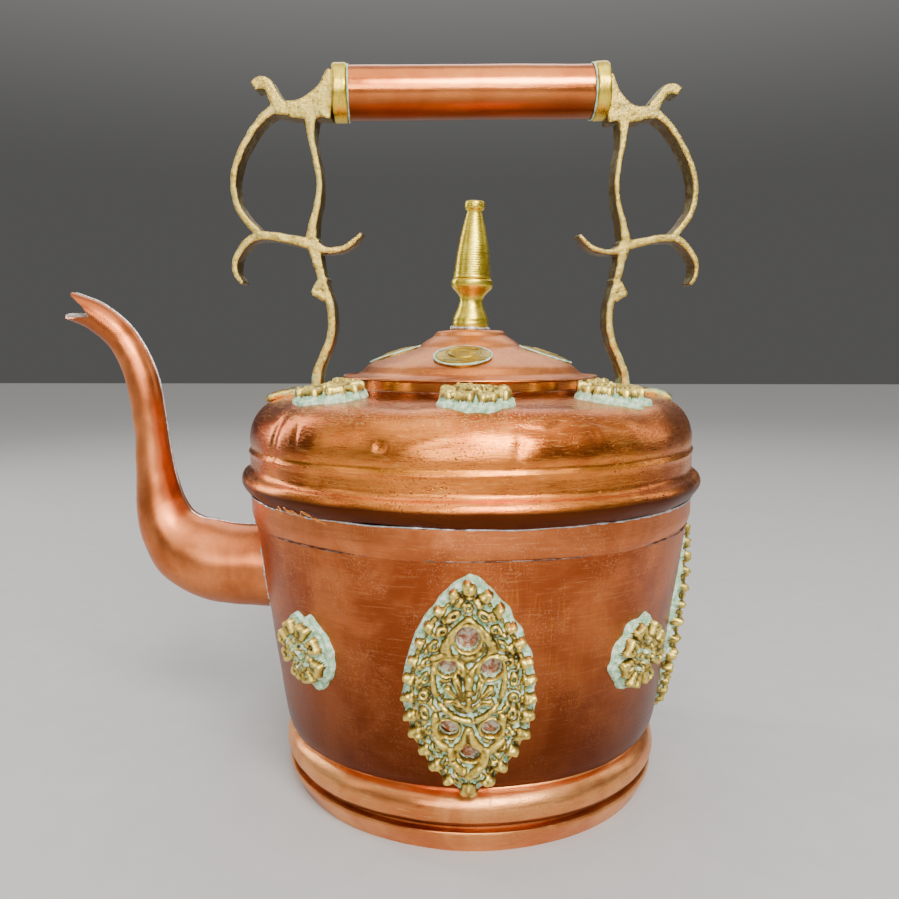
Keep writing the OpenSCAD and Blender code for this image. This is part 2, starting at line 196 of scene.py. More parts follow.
def skinFaces(rows, cols, keep=None, wrap=False):
    # front, back and rim faces of a closed skin between two grids
    across = cols if wrap else cols - 1
    keep = np.ones((rows - 1, across), bool) if keep is None else keep
    ids = np.arange(rows * cols).reshape(rows, cols)
    if wrap:
        ids = np.hstack([ids, ids[:, :1]])
    quads = np.stack([ids[:-1, :-1], ids[:-1, 1:], ids[1:, 1:], ids[1:, :-1]], -1)
    padded = np.pad(keep, 1)
    if wrap:
        padded[1:-1, 0], padded[1:-1, -1] = keep[:, -1], keep[:, 0]
    total = rows * cols
    rims = []
    for down, right, first, second in ((-1, 0, 0, 1), (1, 0, 2, 3), (0, -1, 3, 0), (0, 1, 1, 2)):
        near = padded[1 + down : rows + down, 1 + right : 1 + right + across]
        edge = quads[keep & ~near]
        a, b = edge[:, first], edge[:, second]
        rims.append(np.stack([b, a, a + total, b + total], 1))
    return quads[keep], quads[keep][:, ::-1] + total, np.vstack(rims)


def addSkin(name, outer, inner, finish, keep=None, wrap=False, lining=None, **more):
    faces = skinFaces(*outer.shape[:2], keep, wrap)
    points = np.vstack([outer.reshape(-1, 3), inner.reshape(-1, 3)])
    piece = addPiece(name, points, faces, [finish, lining] if lining else finish, **more)
    if lining:
        index = np.zeros(len(piece.data.polygons), np.int32)
        index[len(faces[0]) : len(faces[0]) + len(faces[1])] = 1
        piece.data.polygons.foreach_set("material_index", index)
    return piece


def addSheet(name, line, finish, thickness=sheetThickness, segments=480, fields=(), hole=None, **more):
    # spun sheet: an outline turned about the kettle's axis, with thickness inwards
    line = np.array(line, float)
    way = heading(line)
    a = np.linspace(0, 2 * math.pi, segments, endpoint=False)
    c, s = np.cos(a)[None, :], np.sin(a)[None, :]
    r, z = line[:, :1], line[:, 1:]
    points = np.stack([r * c, r * s, z + 0 * c], -1)
    normals = np.stack([way[:, 1:] * c, way[:, 1:] * s, -way[:, :1] + 0 * c], -1)
    moved = sum([f(points, normals) for f in fields]) if fields else np.zeros(points.shape[:2])
    outer = points + normals * moved[..., None]
    keep = None
    if hole:
        gap = np.hypot(outer[..., 1], outer[..., 2] - hole["z"]) - hole["radius"]
        onSide = outer[..., 0] * hole["side"] > 0
        snap = onSide & (np.abs(gap) < hole["radius"] * 0.06)
        spoke = np.stack([0 * gap, outer[..., 1], outer[..., 2] - hole["z"]], -1)
        spoke /= np.linalg.norm(spoke, axis=-1)[..., None] + 1e-9
        outer = np.where(snap[..., None], outer - spoke * gap[..., None], outer)
        open_ = onSide & (gap < 0.3)
        ring = np.hstack([open_, open_[:, :1]])
        keep = ~(ring[:-1, :-1] & ring[1:, :-1] & ring[:-1, 1:] & ring[1:, 1:])
    return addSkin(name, outer, outer - normals * thickness, finish, keep, True, **more)


def turnedFaces(rows, cols):
    ids = np.arange(rows * cols).reshape(rows, cols)
    ids = np.hstack([ids, ids[:, :1]])
    return np.stack([ids[:-1, :-1], ids[:-1, 1:], ids[1:, 1:], ids[1:, :-1]], -1).reshape(-1, 4)


def addTurned(name, outline, finish, place=None, segments=120, fields=(), **more):
    # solid turned about its own axis, from the axis out and back to the axis
    line = np.array(outline, float)
    way = heading(line)
    a = np.linspace(0, 2 * math.pi, segments, endpoint=False)
    c, s = np.cos(a)[None, :], np.sin(a)[None, :]
    points = np.stack([line[:, :1] * c, line[:, :1] * s, line[:, 1:] + 0 * c], -1)
    normals = np.stack([way[:, 1:] * c, way[:, 1:] * s, -way[:, :1] + 0 * c], -1)
    moved = sum([f(points, normals) for f in fields]) if fields else np.zeros(points.shape[:2])
    points = points + normals * moved[..., None]
    if place is not None:
        turn = np.array(place.to_3x3())
        points = points @ turn.T + np.array(place.translation)
    return addPiece(name, points, [turnedFaces(*points.shape[:2])], finish, **more)


def barRings(path, across, deep, widths, depths, power=2.0, sides=20):
    # rings of a bar; power 2 is an oval section, higher is squarer
    a = np.linspace(0, 2 * math.pi, sides, endpoint=False)
    cx = np.sign(np.cos(a)) * np.abs(np.cos(a)) ** (2 / power)
    cy = np.sign(np.sin(a)) * np.abs(np.sin(a)) ** (2 / power)
    half = across[:, None, :] * (np.array(widths)[:, None] / 2 * cx)[..., None]
    back = deep[:, None, :] * (np.array(depths)[:, None] / 2 * cy)[..., None]
    return path[:, None, :] + half + back


def barFaces(rings, start=0):
    rows, cols = rings.shape[:2]
    low = list(range(start, start + cols))[::-1]
    high = list(range(start + (rows - 1) * cols, start + rows * cols))
    return [turnedFaces(rows, cols) + start, np.array([low]), np.array([high])]


def addWire(name, path, radius, finish, seed=1, rough=0.25, sides=10, closed=False, flat=1.0, **more):
    # uneven bead of metal run along a path
    path = np.array(path, float)
    rng = np.random.default_rng(seed)
    tangent = np.roll(path, -1, 0) - np.roll(path, 1, 0) if closed else np.gradient(path, axis=0)
    tangent /= np.linalg.norm(tangent, axis=1)[:, None]
    axis = np.array([0, 0, 1.0]) if abs(tangent[:, 2]).mean() < 0.7 else np.array([0, 1.0, 0])
    side = np.cross(tangent, axis)
    side /= np.linalg.norm(side, axis=1)[:, None]
    up = np.cross(side, tangent)
    grown = radius * (1 + rough * waves(seed, 7, 1)(path) + rough * 0.6 * rng.normal(size=len(path)))
    grown = np.clip(grown, radius * 0.3, radius * 2)
    rings = barRings(path, side, up, 2 * grown, 2 * grown * flat, sides=sides)
    if closed:
        rings = np.concatenate([rings, rings[:1]])
        return addPiece(name, rings, [turnedFaces(*rings.shape[:2])], finish, **more)
    return addPiece(name, rings, barFaces(rings), finish, **more)


# ---- finishes ----


class Wire:
    # an output in a shader tree that can stand in a sum
    def __init__(self, finish, socket):
        self.finish = finish
        self.socket = socket

    def sum(self, operation, first, second):
        return self.finish.node("ShaderNodeMath", {"operation": operation}, first, second)

    def __add__(self, other):
        return self.sum("ADD", self, other)

    def __radd__(self, other):
        return self.sum("ADD", other, self)

    def __sub__(self, other):
        return self.sum("SUBTRACT", self, other)

    def __rsub__(self, other):
        return self.sum("SUBTRACT", other, self)

    def __mul__(self, other):
        return self.sum("MULTIPLY", self, other)

    def __rmul__(self, other):
        return self.sum("MULTIPLY", other, self)

    def __truediv__(self, other):
        return self.sum("DIVIDE", self, other)

    def __rtruediv__(self, other):
        return self.sum("DIVIDE", other, self)

    def __pow__(self, other):
        return self.sum("POWER", self, other)

    def __rpow__(self, other):
        return self.sum("POWER", other, self)


class Finish:
    # one material, built by adding nodes
    def __init__(self, name, **fixed):
        self.material = bpy.data.materials.new(name)
        self.material.use_nodes = True
        self.tree = self.material.node_tree
        self.shader = self.tree.nodes["Principled BSDF"]
        for key, value in fixed.items():
            self.shader.inputs[key.replace("_", " ")].default_value = value

    def node(self, kind, settings, *values, output=0):
        made = self.tree.nodes.new(kind)
        for key, value in settings.items():
            if key == "stops":
                self.setStops(made.color_ramp, value)
            else:
                setattr(made, key, value)
        sockets = [s for s in made.inputs if s.enabled]
        for socket, value in zip(sockets, values):
            if value is None:
                continue
            if isinstance(value, Wire):
                self.tree.links.new(value.socket, socket)
            elif isinstance(value, (int, float)):
                socket.default_value = value
            else:
                room = len(socket.default_value)
                socket.default_value = tuple(value) + (1.0,) * (room - len(value))
        return Wire(self, [s for s in made.outputs if s.enabled][output])

    def setStops(self, ramp, stops):
        while len(ramp.elements) > 1:
            ramp.elements.remove(ramp.elements[-1])
        for i, (place, tone) in enumerate(stops):
            stop = ramp.elements[0] if i == 0 else ramp.elements.new(place)
            stop.position = place
            stop.color = (tone, tone, tone, 1) if isinstance(tone, (int, float)) else (*tone, 1)

    def feed(self, **wires):
        for key, wire in wires.items():
            self.tree.links.new(wire.socket, self.shader.inputs[key.replace("_", " ")])
        return self.material

    def place(self):
        return self.node("ShaderNodeTexCoord", {}, output=3)

    def parts(self, vector):
        return [self.node("ShaderNodeSeparateXYZ", {}, vector, output=i) for i in range(3)]

    def vector(self, x, y, z):
        return self.node("ShaderNodeCombineXYZ", {}, x, y, z)

    def stretch(self, vector, scale):
        return self.node("ShaderNodeVectorMath", {"operation": "MULTIPLY"}, vector, scale)

    def noise(self, vector, scale, detail=3.0, rough=0.5, twist=0.0):
        return self.node("ShaderNodeTexNoise", {}, vector, scale, detail, rough, 2.0, twist)

    def ramp(self, value, stops):
        return self.node("ShaderNodeValToRGB", {"stops": stops}, value)

    def mask(self, value, low, high):
        # 0 below low, 1 above high, eased between
        settings = {"interpolation_type": "SMOOTHSTEP"}
        return self.node("ShaderNodeMapRange", settings, value, low, high, 0.0, 1.0)

    def blend(self, amount, first, second, mode="MIX"):
        settings = {"data_type": "RGBA", "blend_type": mode}
        return self.node("ShaderNodeMix", settings, amount, first, second)

    def bump(self, height, strength, depth, under=None):
        made = self.node("ShaderNodeBump", {}, strength, depth)
        sockets = made.socket.node.inputs
        self.tree.links.new(height.socket, sockets["Height"])
        if under:
            self.tree.links.new(under.socket, sockets["Normal"])
        return made

    def normal(self):
        return self.parts(self.node("ShaderNodeNewGeometry", {}, output=1))

    def rings(self, around, through, detail=3.0, rough=0.55):
        # noise drawn out round the kettle's axis, as spinning leaves it
        x, y, z = self.parts(self.place())
        r = (x * x + y * y + 1e-6) ** 0.5
        spot = self.vector(x / r * around, y / r * around, z * through)
        settings = {"noise_dimensions": "4D"}
        return self.node("ShaderNodeTexNoise", settings, spot, r * through, 1.0, detail, rough)


def copperFinish(name, look):
    # sheet copper: spun lines, brush strokes, blotches, dashes, bright specks painted as glints on the
    # shoulder's top, painted shade on undersides and a painted dark reflection low on the wall
    f = Finish(name, Metallic=1.0)
    spot = f.place()
    z = f.parts(spot)[2]
    broad = f.noise(spot, look["blotchSize"], 4.0, 0.6, 0.6)
    tone = f.blend(f.mask(broad, 0.36, 0.66), look["dark"], look["base"])
    if look["panels"]:
        panels = f.mask(f.rings(5.5, 5.0, 1.0, 0.4), 0.49, 0.525)
        tone = f.blend(panels * look["panels"], tone, look["dark"])
    if "strokeRings" in look:
        strokes = f.rings(*look["strokeRings"], 3.0, 0.6)
    else:
        strokes = f.noise(f.stretch(spot, look["strokeWay"]), look["strokeSize"], 4.0, 0.62, 0.4)
    stroke = f.mask(strokes, 0.53, 0.66) * f.mask(f.noise(spot, 24.0, 3.0), 0.44, 0.62) * look["strokes"]
    tone = f.blend(stroke, tone, look["tarnish"])
    rough = look["rough"] + look["roughSpread"] * (broad - 0.5) + 0.1 * stroke
    fine = f.noise(f.stretch(spot, look["strokeWay"]), 1900.0, 3.0, 0.6)
    under = f.bump(fine, look["grain"], 0.0002)
    if look["lines"]:
        lines = f.rings(look["lineLength"], 1250.0, 4.0, 0.68)
        tone = f.blend(f.mask(lines, 0.52, 0.70) * look["lineTone"], tone, look["bright"])
        tone = f.blend((1 - f.mask(lines, 0.30, 0.46)) * look["lineTone"], tone, look["dark"])
        rough = rough + (lines - 0.5) * 0.2
        under = f.bump(lines, look["lines"], 0.0003, under)
    if look["dashes"]:
        near = f.mask(f.noise(spot, 26.0, 3.0, 0.6), 0.44, 0.62)
        dash = f.mask(f.rings(110.0, 1700.0, 2.0, 0.5), 0.58, 0.66) * near * look["dashes"]
        tone = f.blend(dash, tone, look["deep"])
        rough = rough + 0.2 * dash
        under = f.bump(1 - dash, 0.5, 0.0003, under)
    if look["specks"]:
        zone = f.mask(f.noise(spot, 50.0, 3.0, 0.6), 0.40, 0.60)
        # on the shoulder the bright specks gather near its top as painted glints where the light falls
        if "paintedGlintBand" in look:
            low, high = look["paintedGlintBand"]
            zone = f.mask(z + 0.006 * (f.noise(spot, 30.0, 2.0) - 0.5), low, high) * (0.35 + 0.65 * zone)
        speck = f.mask(f.noise(spot, 1150.0, 2.0, 0.6), 0.56, 0.64) * zone * look["specks"]
        tone = f.blend(speck, tone, look["speckTone"])
        under = f.bump(speck, 0.3, 0.0003, under)
    grime = f.mask(f.noise(spot, 160.0, 5.0, 0.65, 0.3), 0.55, 0.75) * look["grime"]
    tone = f.blend(grime, tone, look["dark"])
    if "ochre" in look:
        middle, reach = look["ochre"]
        seam = f.mask(z, middle - reach, middle) * (1 - f.mask(z, middle, middle + 1.6 * reach))
        tone = f.blend(seam * f.mask(f.noise(spot, 35.0, 4.0), 0.32, 0.55) * 0.75, tone, look["tarnish"])
    # painted dark reflection: the wall's copper darkens towards the bottom, as much as the look's foot amount
    if "foot" in look:
        low, high, amount = look["foot"]
        tone = f.blend((1 - f.mask(z + 0.02 * (broad - 0.5), low, high)) * amount, tone, look["deep"])
    # painted shade: faces turned downwards are darkened towards the deep tone, as much as the look's under
    # amount
    shade = f.mask(0 - f.normal()[2], 0.12, 0.7) * look["under"]
    # within the bead's band of height the painted shade reaches up to nearly level faces: the dark underside of
    # the shoulder's bead and the base ring's groove
    if "bead" in look:
        low, high = look["bead"]
        zone = f.mask(z, low - 0.0005, low) * (1 - f.mask(z, high, high + 0.001))
        shade = f.mask(0 - f.normal()[2], -0.42, 0.02) * zone * look["under"]
    tone = f.blend(shade, tone, look["deep"])
    return f.feed(Base_Color=tone, Roughness=rough + 0.12 * shade, Normal=under)


# the wall's copper is set darker than the other pieces' as painted shade. Each look's under amount paints shade
# on downward faces, bead bounds a band of it, and foot paints a dark reflection low on the wall
bodyLook = {
    "base": (0.63, 0.170, 0.048), "dark": (0.34, 0.068, 0.016), "bright": (0.80, 0.30, 0.10),
    "deep": (0.085, 0.018, 0.006), "tarnish": (0.72, 0.20, 0.02), "speckTone": (0.85, 0.42, 0.2),
    "blotchSize": 24.0, "panels": 0.25, "strokeWay": (1.0, 1.0, 0.16), "strokeRings": (150.0, 90.0),
    "strokes": 0.75, "lines": 0.35, "lineLength": 9.0, "lineTone": 0.42, "dashes": 0.0, "specks": 0.3,
    "grime": 0.4, "rough": 0.36, "roughSpread": 0.2, "grain": 0.1, "under": 0.0,
    "foot": (wallLow[2] / 1000 - 0.012, bandLow[2] / 1000 + 0.004, 0.88),
}
bandLook = dict(
    bodyLook, base=(0.78, 0.235, 0.075), dark=(0.50, 0.125, 0.034), bright=(0.88, 0.38, 0.15), strokes=0.3,
    foot=(0.1, 0.11, 0.0),
)
# the shoulder's under and bead paint the dark underside of its bead; its glint band paints glints on its top
shoulderLook = dict(
    bodyLook, base=(0.88, 0.265, 0.044), dark=(0.54, 0.125, 0.021), bright=(0.98, 0.45, 0.11),
    tarnish=(0.74, 0.24, 0.02), speckTone=(0.98, 0.62, 0.26), strokes=0.2, lines=0.5, lineLength=16.0,
    lineTone=0.6, dashes=0.9, specks=0.75, paintedGlintBand=(0.187, 0.1955), grime=0.35, rough=0.27, under=0.96,
    bead=(domeLow[2] / 1000 - 0.001, domeLow[2] / 1000 + 0.0088),
    ochre=(shoulderCrease / 1000 + 0.0012, 0.0016), foot=(0.1, 0.11, 0.0),
)
# the base ring's copper is set lighter as a painted highlight on its roll; under and bead paint shade in its
# groove
baseLook = dict(
    bodyLook, base=(0.96, 0.42, 0.14), dark=(0.70, 0.21, 0.055), bright=(0.98, 0.58, 0.24), panels=0.12,
    strokes=0.15, lines=0.3, lineLength=14.0, lineTone=0.4, dashes=0.35, specks=0.15, grime=0.25, rough=0.33,
    under=0.85, foot=(0.1, 0.11, 0.0), bead=(0.0102, 0.0150),
)
neckLook = dict(
    bodyLook, base=(0.95, 0.36, 0.08), dark=(0.78, 0.24, 0.05), bright=(0.97, 0.50, 0.16), panels=0.0,
    strokes=0.1, lines=0.2, lineTone=0.3, specks=0.1, grime=0.1, rough=0.25, foot=(0.1, 0.11, 0.0),
)
# under paints shade on the lid's downward faces
lidLook = dict(
    bodyLook, base=(0.84, 0.29, 0.072), dark=(0.52, 0.14, 0.03), bright=(0.95, 0.46, 0.15), panels=0.15,
    strokes=0.2, lines=0.35, lineLength=12.0, lineTone=0.5, dashes=0.4, specks=0.3, grime=0.5, rough=0.35,
    under=0.8, foot=(0.1, 0.11, 0.0),
)
# under paints shade on the spout's underside
spoutLook = dict(
    bodyLook, base=(0.84, 0.265, 0.085), dark=(0.54, 0.135, 0.036), bright=(0.92, 0.40, 0.15), panels=0.0,
    strokeWay=(1.0, 1.0, 0.12), strokeSize=420.0, strokes=0.3, lines=0, dashes=0.0, specks=0.2, grime=0.35,
    rough=0.36, grain=0.25, under=0.35, foot=(0.1, 0.11, 0.0),
)
# under paints shade on the grip's underside
gripLook = dict(
    bodyLook, base=(0.90, 0.28, 0.07), dark=(0.70, 0.18, 0.04), bright=(0.95, 0.42, 0.13), panels=0.0,
    strokeWay=(0.08, 1.0, 1.0), strokeSize=420.0, strokes=0.4, lines=0, dashes=0.0, specks=0.1, grime=0.3,
    rough=0.22, roughSpread=0.12, grain=0.15, under=0.75, foot=(0.1, 0.11, 0.0),
)
for look in (spoutLook, gripLook):
    del look["strokeRings"]


def castFinish(name, base, shade, green, rough=0.42):
    # sand-cast brass: faces turned front and back painted bright as light, sides painted dark as shade, grain,
    # and green at the foot
    f = Finish(name)
    spot = f.place()
    grain = f.noise(spot, 620.0, 5.0, 0.7)
    broad = f.noise(spot, 60.0, 4.0, 0.6, 0.5)
    # painted light and shade: the more a face turns to the front or back, the brighter its colour; the sides
    # take the shade tone
    face = f.node("ShaderNodeMath", {"operation": "ABSOLUTE"}, f.normal()[1])
    paintedFaceLight = f.mask(face + 0.4 * (grain - 0.5), 0.34, 0.72) * (0.72 + 0.28 * f.mask(broad, 0.4, 0.6))
    tone = f.blend(paintedFaceLight, shade, base)
    strokes = f.noise(f.stretch(spot, (0.25, 1.0, 1.0)), 1500.0, 3.0, 0.7, 1.2)
    tone = f.blend(f.mask(strokes, 0.54, 0.66) * paintedFaceLight * 0.85, tone, (1.0, 0.84, 0.26))
    tone = f.blend((1 - f.mask(grain, 0.36, 0.47)) * 0.75, tone, (0.13, 0.075, 0.018))
    z = f.parts(spot)[2]
    foot = 1 - f.mask(z, domeHigh[2] / 1000 - 0.001, domeHigh[2] / 1000 + 0.03)
    patches = f.mask(f.noise(spot, 150.0, 5.0, 0.68), 0.50, 0.60)
    mould = patches * (0.14 + 0.7 * foot) * green
    tone = f.blend(mould, tone, (0.36, 0.54, 0.30))
    under = f.bump(grain, 0.8, 0.0005)
    under = f.bump(strokes, 0.35, 0.0003, under)
    under = f.bump(f.noise(spot, 240.0, 3.0), 0.35, 0.0006, under)
    return f.feed(
        Base_Color=tone, Roughness=rough + 0.16 * (broad - 0.5) + 0.3 * mould,
        Metallic=1 - mould, Normal=under,
    )


def turnedFinish(name, base, shade, rough=0.3, axis=2):
    # lathe-cut brass with fine tool rings
    f = Finish(name, Metallic=1.0)
    spot = f.place()
    way = [0.04, 0.04, 0.04]
    way[axis] = 1.0
    tool = f.noise(f.stretch(spot, way), 3200.0, 3.0, 0.6)
    broad = f.noise(spot, 90.0, 4.0, 0.6)
    tone = f.blend(f.mask(broad, 0.35, 0.68), shade, base)
    tone = f.blend(f.mask(tool, 0.48, 0.66) * 0.5, tone, (1.0, 0.84, 0.20))
    stain = f.mask(f.noise(spot, 300.0, 4.0, 0.65), 0.56, 0.68) * 0.6
    tone = f.blend(stain, tone, shade)
    under = f.bump(tool, 0.3, 0.0003)
    return f.feed(Base_Color=tone, Roughness=rough + 0.2 * (tool - 0.5) + 0.15 * stain, Normal=under)


def reliefFinish(name):
    # old cast ornament: brass painted golden on the heights and dark brown down the flanks into the hollows as
    # painted light and shade, and pale green verdigris in the hollows
    f = Finish(name)
    spot = f.place()
    depth = f.node("ShaderNodeAttribute", {"attribute_name": "hollow"}, output=2)
    edge = f.node("ShaderNodeAttribute", {"attribute_name": "plate"}, output=2)
    fine = f.noise(spot, 950.0, 4.0, 0.65)
    broad = f.noise(spot, 120.0, 4.0, 0.6, 0.4)
    shadeAndVerdigrisDepth = depth + (fine - 0.5) * 0.5 + (broad - 0.5) * 0.5
    # painted light and shade: the brass runs from golden on the heights to dark brown in the hollows
    brass = f.ramp(shadeAndVerdigrisDepth, [
        (0.0, (0.92, 0.70, 0.17)), (0.2, (0.52, 0.37, 0.07)),
        (0.36, (0.30, 0.20, 0.04)), (0.56, (0.14, 0.095, 0.022)),
    ])
    mint = f.ramp(f.noise(spot, 420.0, 4.0, 0.6), [
        (0.3, (0.16, 0.36, 0.19)), (0.48, (0.38, 0.60, 0.37)), (0.64, (0.80, 0.88, 0.68)),
    ])
    lime = f.mask(shadeAndVerdigrisDepth, 0.57, 0.71) * f.mask(broad, 0.34, 0.54)
    backing = f.mask(edge + (fine - 0.5) * 0.9 + (broad - 0.5) * 0.8, 0.56, 0.70)
    lime = f.node("ShaderNodeMath", {"operation": "MAXIMUM"}, lime, backing)
    tone = f.blend(lime, brass, mint)
    under = f.bump(fine, 0.55, 0.0005)
    under = f.bump(f.noise(spot, 380.0, 3.0), 0.4, 0.0006, under)
    return f.feed(Base_Color=tone, Roughness=0.36 + 0.42 * lime, Metallic=1 - lime, Normal=under)


def plainFinish(name, base, shade, metal, rough, size=400.0, relief=0.4):
    # solder, tin lining, verdigris or steel: a mottled, slightly lumpy skin
    f = Finish(name, Metallic=metal)
    spot = f.place()
    mottle = f.noise(spot, size, 4.0, 0.62, 0.3)
    broad = f.noise(spot, size / 6, 3.0, 0.55)
    tone = f.blend(f.mask(mottle, 0.35, 0.66), shade, base)
    tone = f.blend(f.mask(broad, 0.55, 0.75) * 0.5, tone, shade)
    under = f.bump(mottle, relief, 0.0004)
    return f.feed(Base_Color=tone, Roughness=rough + 0.25 * (broad - 0.5), Normal=under)


def dustFinish(name):
    # dull copper behind the pierced work, with pale dust caught on it
    f = Finish(name)
    spot = f.place()
    dust = f.mask(f.noise(spot, 240.0, 5.0, 0.7, 0.4), 0.44, 0.58)
    fine = f.noise(spot, 900.0, 3.0, 0.6)
    tone = f.blend(f.mask(fine, 0.35, 0.65), (0.24, 0.085, 0.045), (0.50, 0.22, 0.13))
    tone = f.blend(dust, tone, (0.60, 0.53, 0.43))
    under = f.bump(fine, 0.5, 0.0004)
    return f.feed(Base_Color=tone, Roughness=0.5 + 0.4 * dust, Metallic=0.9 - 0.9 * dust, Normal=under)


copperBody = copperFinish("body copper", bodyLook)
copperBand = copperFinish("band copper", bandLook)
copperShoulder = copperFinish("shoulder copper", shoulderLook)
copperBase = copperFinish("base copper", baseLook)
copperNeck = copperFinish("neck copper", neckLook)
copperLid = copperFinish("lid copper", lidLook)
copperSpout = copperFinish("spout copper", spoutLook)
copperGrip = copperFinish("grip copper", gripLook)
# the cast brass's second tone is the painted shade of the brackets' sides
brassCast = castFinish("cast brass", (0.74, 0.52, 0.115), (0.13, 0.08, 0.022), 1.0)
brassTurned = turnedFinish("turned brass", (0.98, 0.77, 0.06), (0.66, 0.45, 0.03))
brassDisc = turnedFinish("disc brass", (0.60, 0.40, 0.03), (0.27, 0.165, 0.015), 0.34)
brassCollar = turnedFinish("collar brass", (0.98, 0.71, 0.06), (0.64, 0.40, 0.03), 0.3, 0)
brassRelief = reliefFinish("relief brass")
dustyCopper = dustFinish("dusty copper")
solder = plainFinish("solder", (0.80, 0.80, 0.78), (0.42, 0.40, 0.38), 0.9, 0.38)
# solder coloured near black as painted shadow under the collar band's overhang
shadowSolder = plainFinish("shadow-dark solder", (0.30, 0.20, 0.15), (0.06, 0.03, 0.02), 0.9, 0.5, 160.0)
warmSolder = plainFinish("warm solder", (0.84, 0.52, 0.32), (0.50, 0.24, 0.12), 0.9, 0.4)
tinned = plainFinish("tin lining", (0.62, 0.58, 0.54), (0.34, 0.27, 0.23), 0.9, 0.45, 120.0, 0.2)
verdigris = plainFinish("verdigris", (0.66, 0.84, 0.66), (0.28, 0.54, 0.36), 0.0, 0.8)
steel = plainFinish("steel", (0.45, 0.44, 0.42), (0.22, 0.19, 0.17), 0.9, 0.5)
print("kettle: finishes made")


# ---- base ----

base = {"lipRadius": baseHigh[0] - 1, "lipHeight": 9.5, "rollRadius": 8.6, "rollHeight": 19.6}


def baseLine():
    roll = arc((baseHigh[0] - base["rollRadius"], base["rollHeight"]), (base["rollRadius"], 8.8), -66, 72, 24)
    foot = [[91.6, 0], [93.8, 4.4], [base["lipRadius"], base["lipHeight"]],
            [base["lipRadius"] - 0.5, 11], [roll[0][0] + 0.4, 11.2]]
    return rounded(foot + roll + [[94.6, baseHigh[2]]], 1.0)


baseOutline = evenly(baseLine(), 0.8)
addSheet(
    "baseRing", baseOutline, copperBase, segments=460, lining=tinned,
    slot="copper_spun", replaced=["base_ring"],
    fields=[
        waves(11, 60, 0.18), waves(12, 17, 0.05),
        dent(onLine(baseOutline, -115, z=22), 9, 4, 0.35, 8),
        dent(onLine(baseOutline, -62, z=24), 12, 3, 0.3, -6),
        dent(onLine(baseOutline, 60, z=20), 10, 5, 0.5), dent(onLine(baseOutline, 160, z=19), 8, 6, 0.6),
    ],
)

# ---- wall ----

wall = {"foot": 94.8, "hip": 97.4, "waist": 102.0, "top": 110.6}


def wallCurve():
    knots = [[wall["foot"], wallLow[2]], [wall["hip"], wallLow[2] + 8], [wall["waist"], wallLow[2] + 41],
             [wall["top"], bandLow[2]], [wallHigh[0], wallHigh[2]]]
    return curve(knots, 24)


wallOutline = evenly(wallCurve(), 1.0)


def wallRadius(z):
    return np.interp(z, wallOutline[:, 1], wallOutline[:, 0])


spoutAxisZ = 106.0
spoutHoleRadius = 17
addSheet(
    "bodyWall", wallOutline, copperBody, segments=480, lining=tinned, slot="copper_body",
    replaced=["body_wall"], hole={"z": spoutAxisZ, "radius": spoutHoleRadius, "side": -1},
    fields=[
        waves(21, 75, 0.28), waves(22, 26, 0.06),
        dent(onLine(wallOutline, -62, z=60), 16, 10, 0.45, 20),
        dent(onLine(wallOutline, -128, z=118), 14, 7, 0.4),
        dent(onLine(wallOutline, 30, z=70), 20, 14, 0.6, 40),
        dent(onLine(wallOutline, 120, z=100), 18, 12, 0.6),
    ],
)

band = {"low": bandLow[2], "high": bandHigh[2], "radius": bandHigh[0]}
bandOutline = rounded([
    [wall["top"], band["low"]], [wall["top"] + 0.9, band["low"] + 1.6],
    [band["radius"] - 0.2, band["low"] + 4.2],
    [band["radius"], band["low"] + 5.6], [band["radius"], band["low"] + 10], [band["radius"], band["high"]],
], 1.2)
addSheet(
    "collarBand", evenly(bandOutline, 0.6), copperBand, thickness=1.2, segments=480, slot="copper_body",
    replaced=["collar_band"], fields=[waves(21, 75, 0.28), waves(24, 30, 0.08)],
)


def circle(radius, z, count=700, wobble=0.0, seed=5):
    a = np.linspace(0, 2 * math.pi, count, endpoint=False)
    ring = np.stack([radius * np.cos(a), radius * np.sin(a), z + 0 * a], 1)
    ring[:, 2] += wobble * waves(seed, 22, 1)(ring)
    return ring


# the solder under the band's lower edge, coloured dark as painted shadow
addWire("collarSolder", circle(wall["top"] + 0.1, band["low"] + 0.2, wobble=0.1), 0.3, shadowSolder, seed=3,
        closed=True, slot="solder", replaced=["collar_solder"])

# ---- shoulder ----

shoulder = {"wall": 112.2, "crease": shoulderCrease, "creaseTilt": 0.9, "turnR": 19.0, "turnH": 20.0}


def shoulderLine():
    nose = curve([
        [113.1, domeLow[2]], [114.6, 151.6], [116.2, 153.8], [domeHigh[0], 156.2], [116.6, 158.5],
        [115.3, 160.5], [113.4, 161.7], [shoulder["wall"] + 0.1, 163.4],
    ], 6)
    turn = arc((shoulder["wall"] - shoulder["turnR"], 177), (shoulder["turnR"], shoulder["turnH"]), 0, 88, 26)
    cap = [[84, 198.1], [70, 199.5], [neckHigh[0] + 0.05, domeHigh[2]]]
    return rounded(nose.tolist() + [[shoulder["wall"], 170]] + turn + cap, 1.5)


shoulderOutline = evenly(shoulderLine(), 0.85)


def creaseLine(points, normals):
    # the raised line round the shoulder, a little higher on the right
    azimuth = np.arctan2(points[..., 1], points[..., 0])
    z = shoulder["crease"] + shoulder["creaseTilt"] * np.sin(azimuth + math.pi / 2)
    high = points[..., 2] - z
    return 0.75 * np.exp(-((high / 1.1) ** 2)) - 0.35 * np.exp(-(((high - 2.6) / 1.5) ** 2))


def atShoulder(azimuth, z):
    return onLine(shoulderOutline[shoulderOutline[:, 1] > 162], azimuth, z=z)


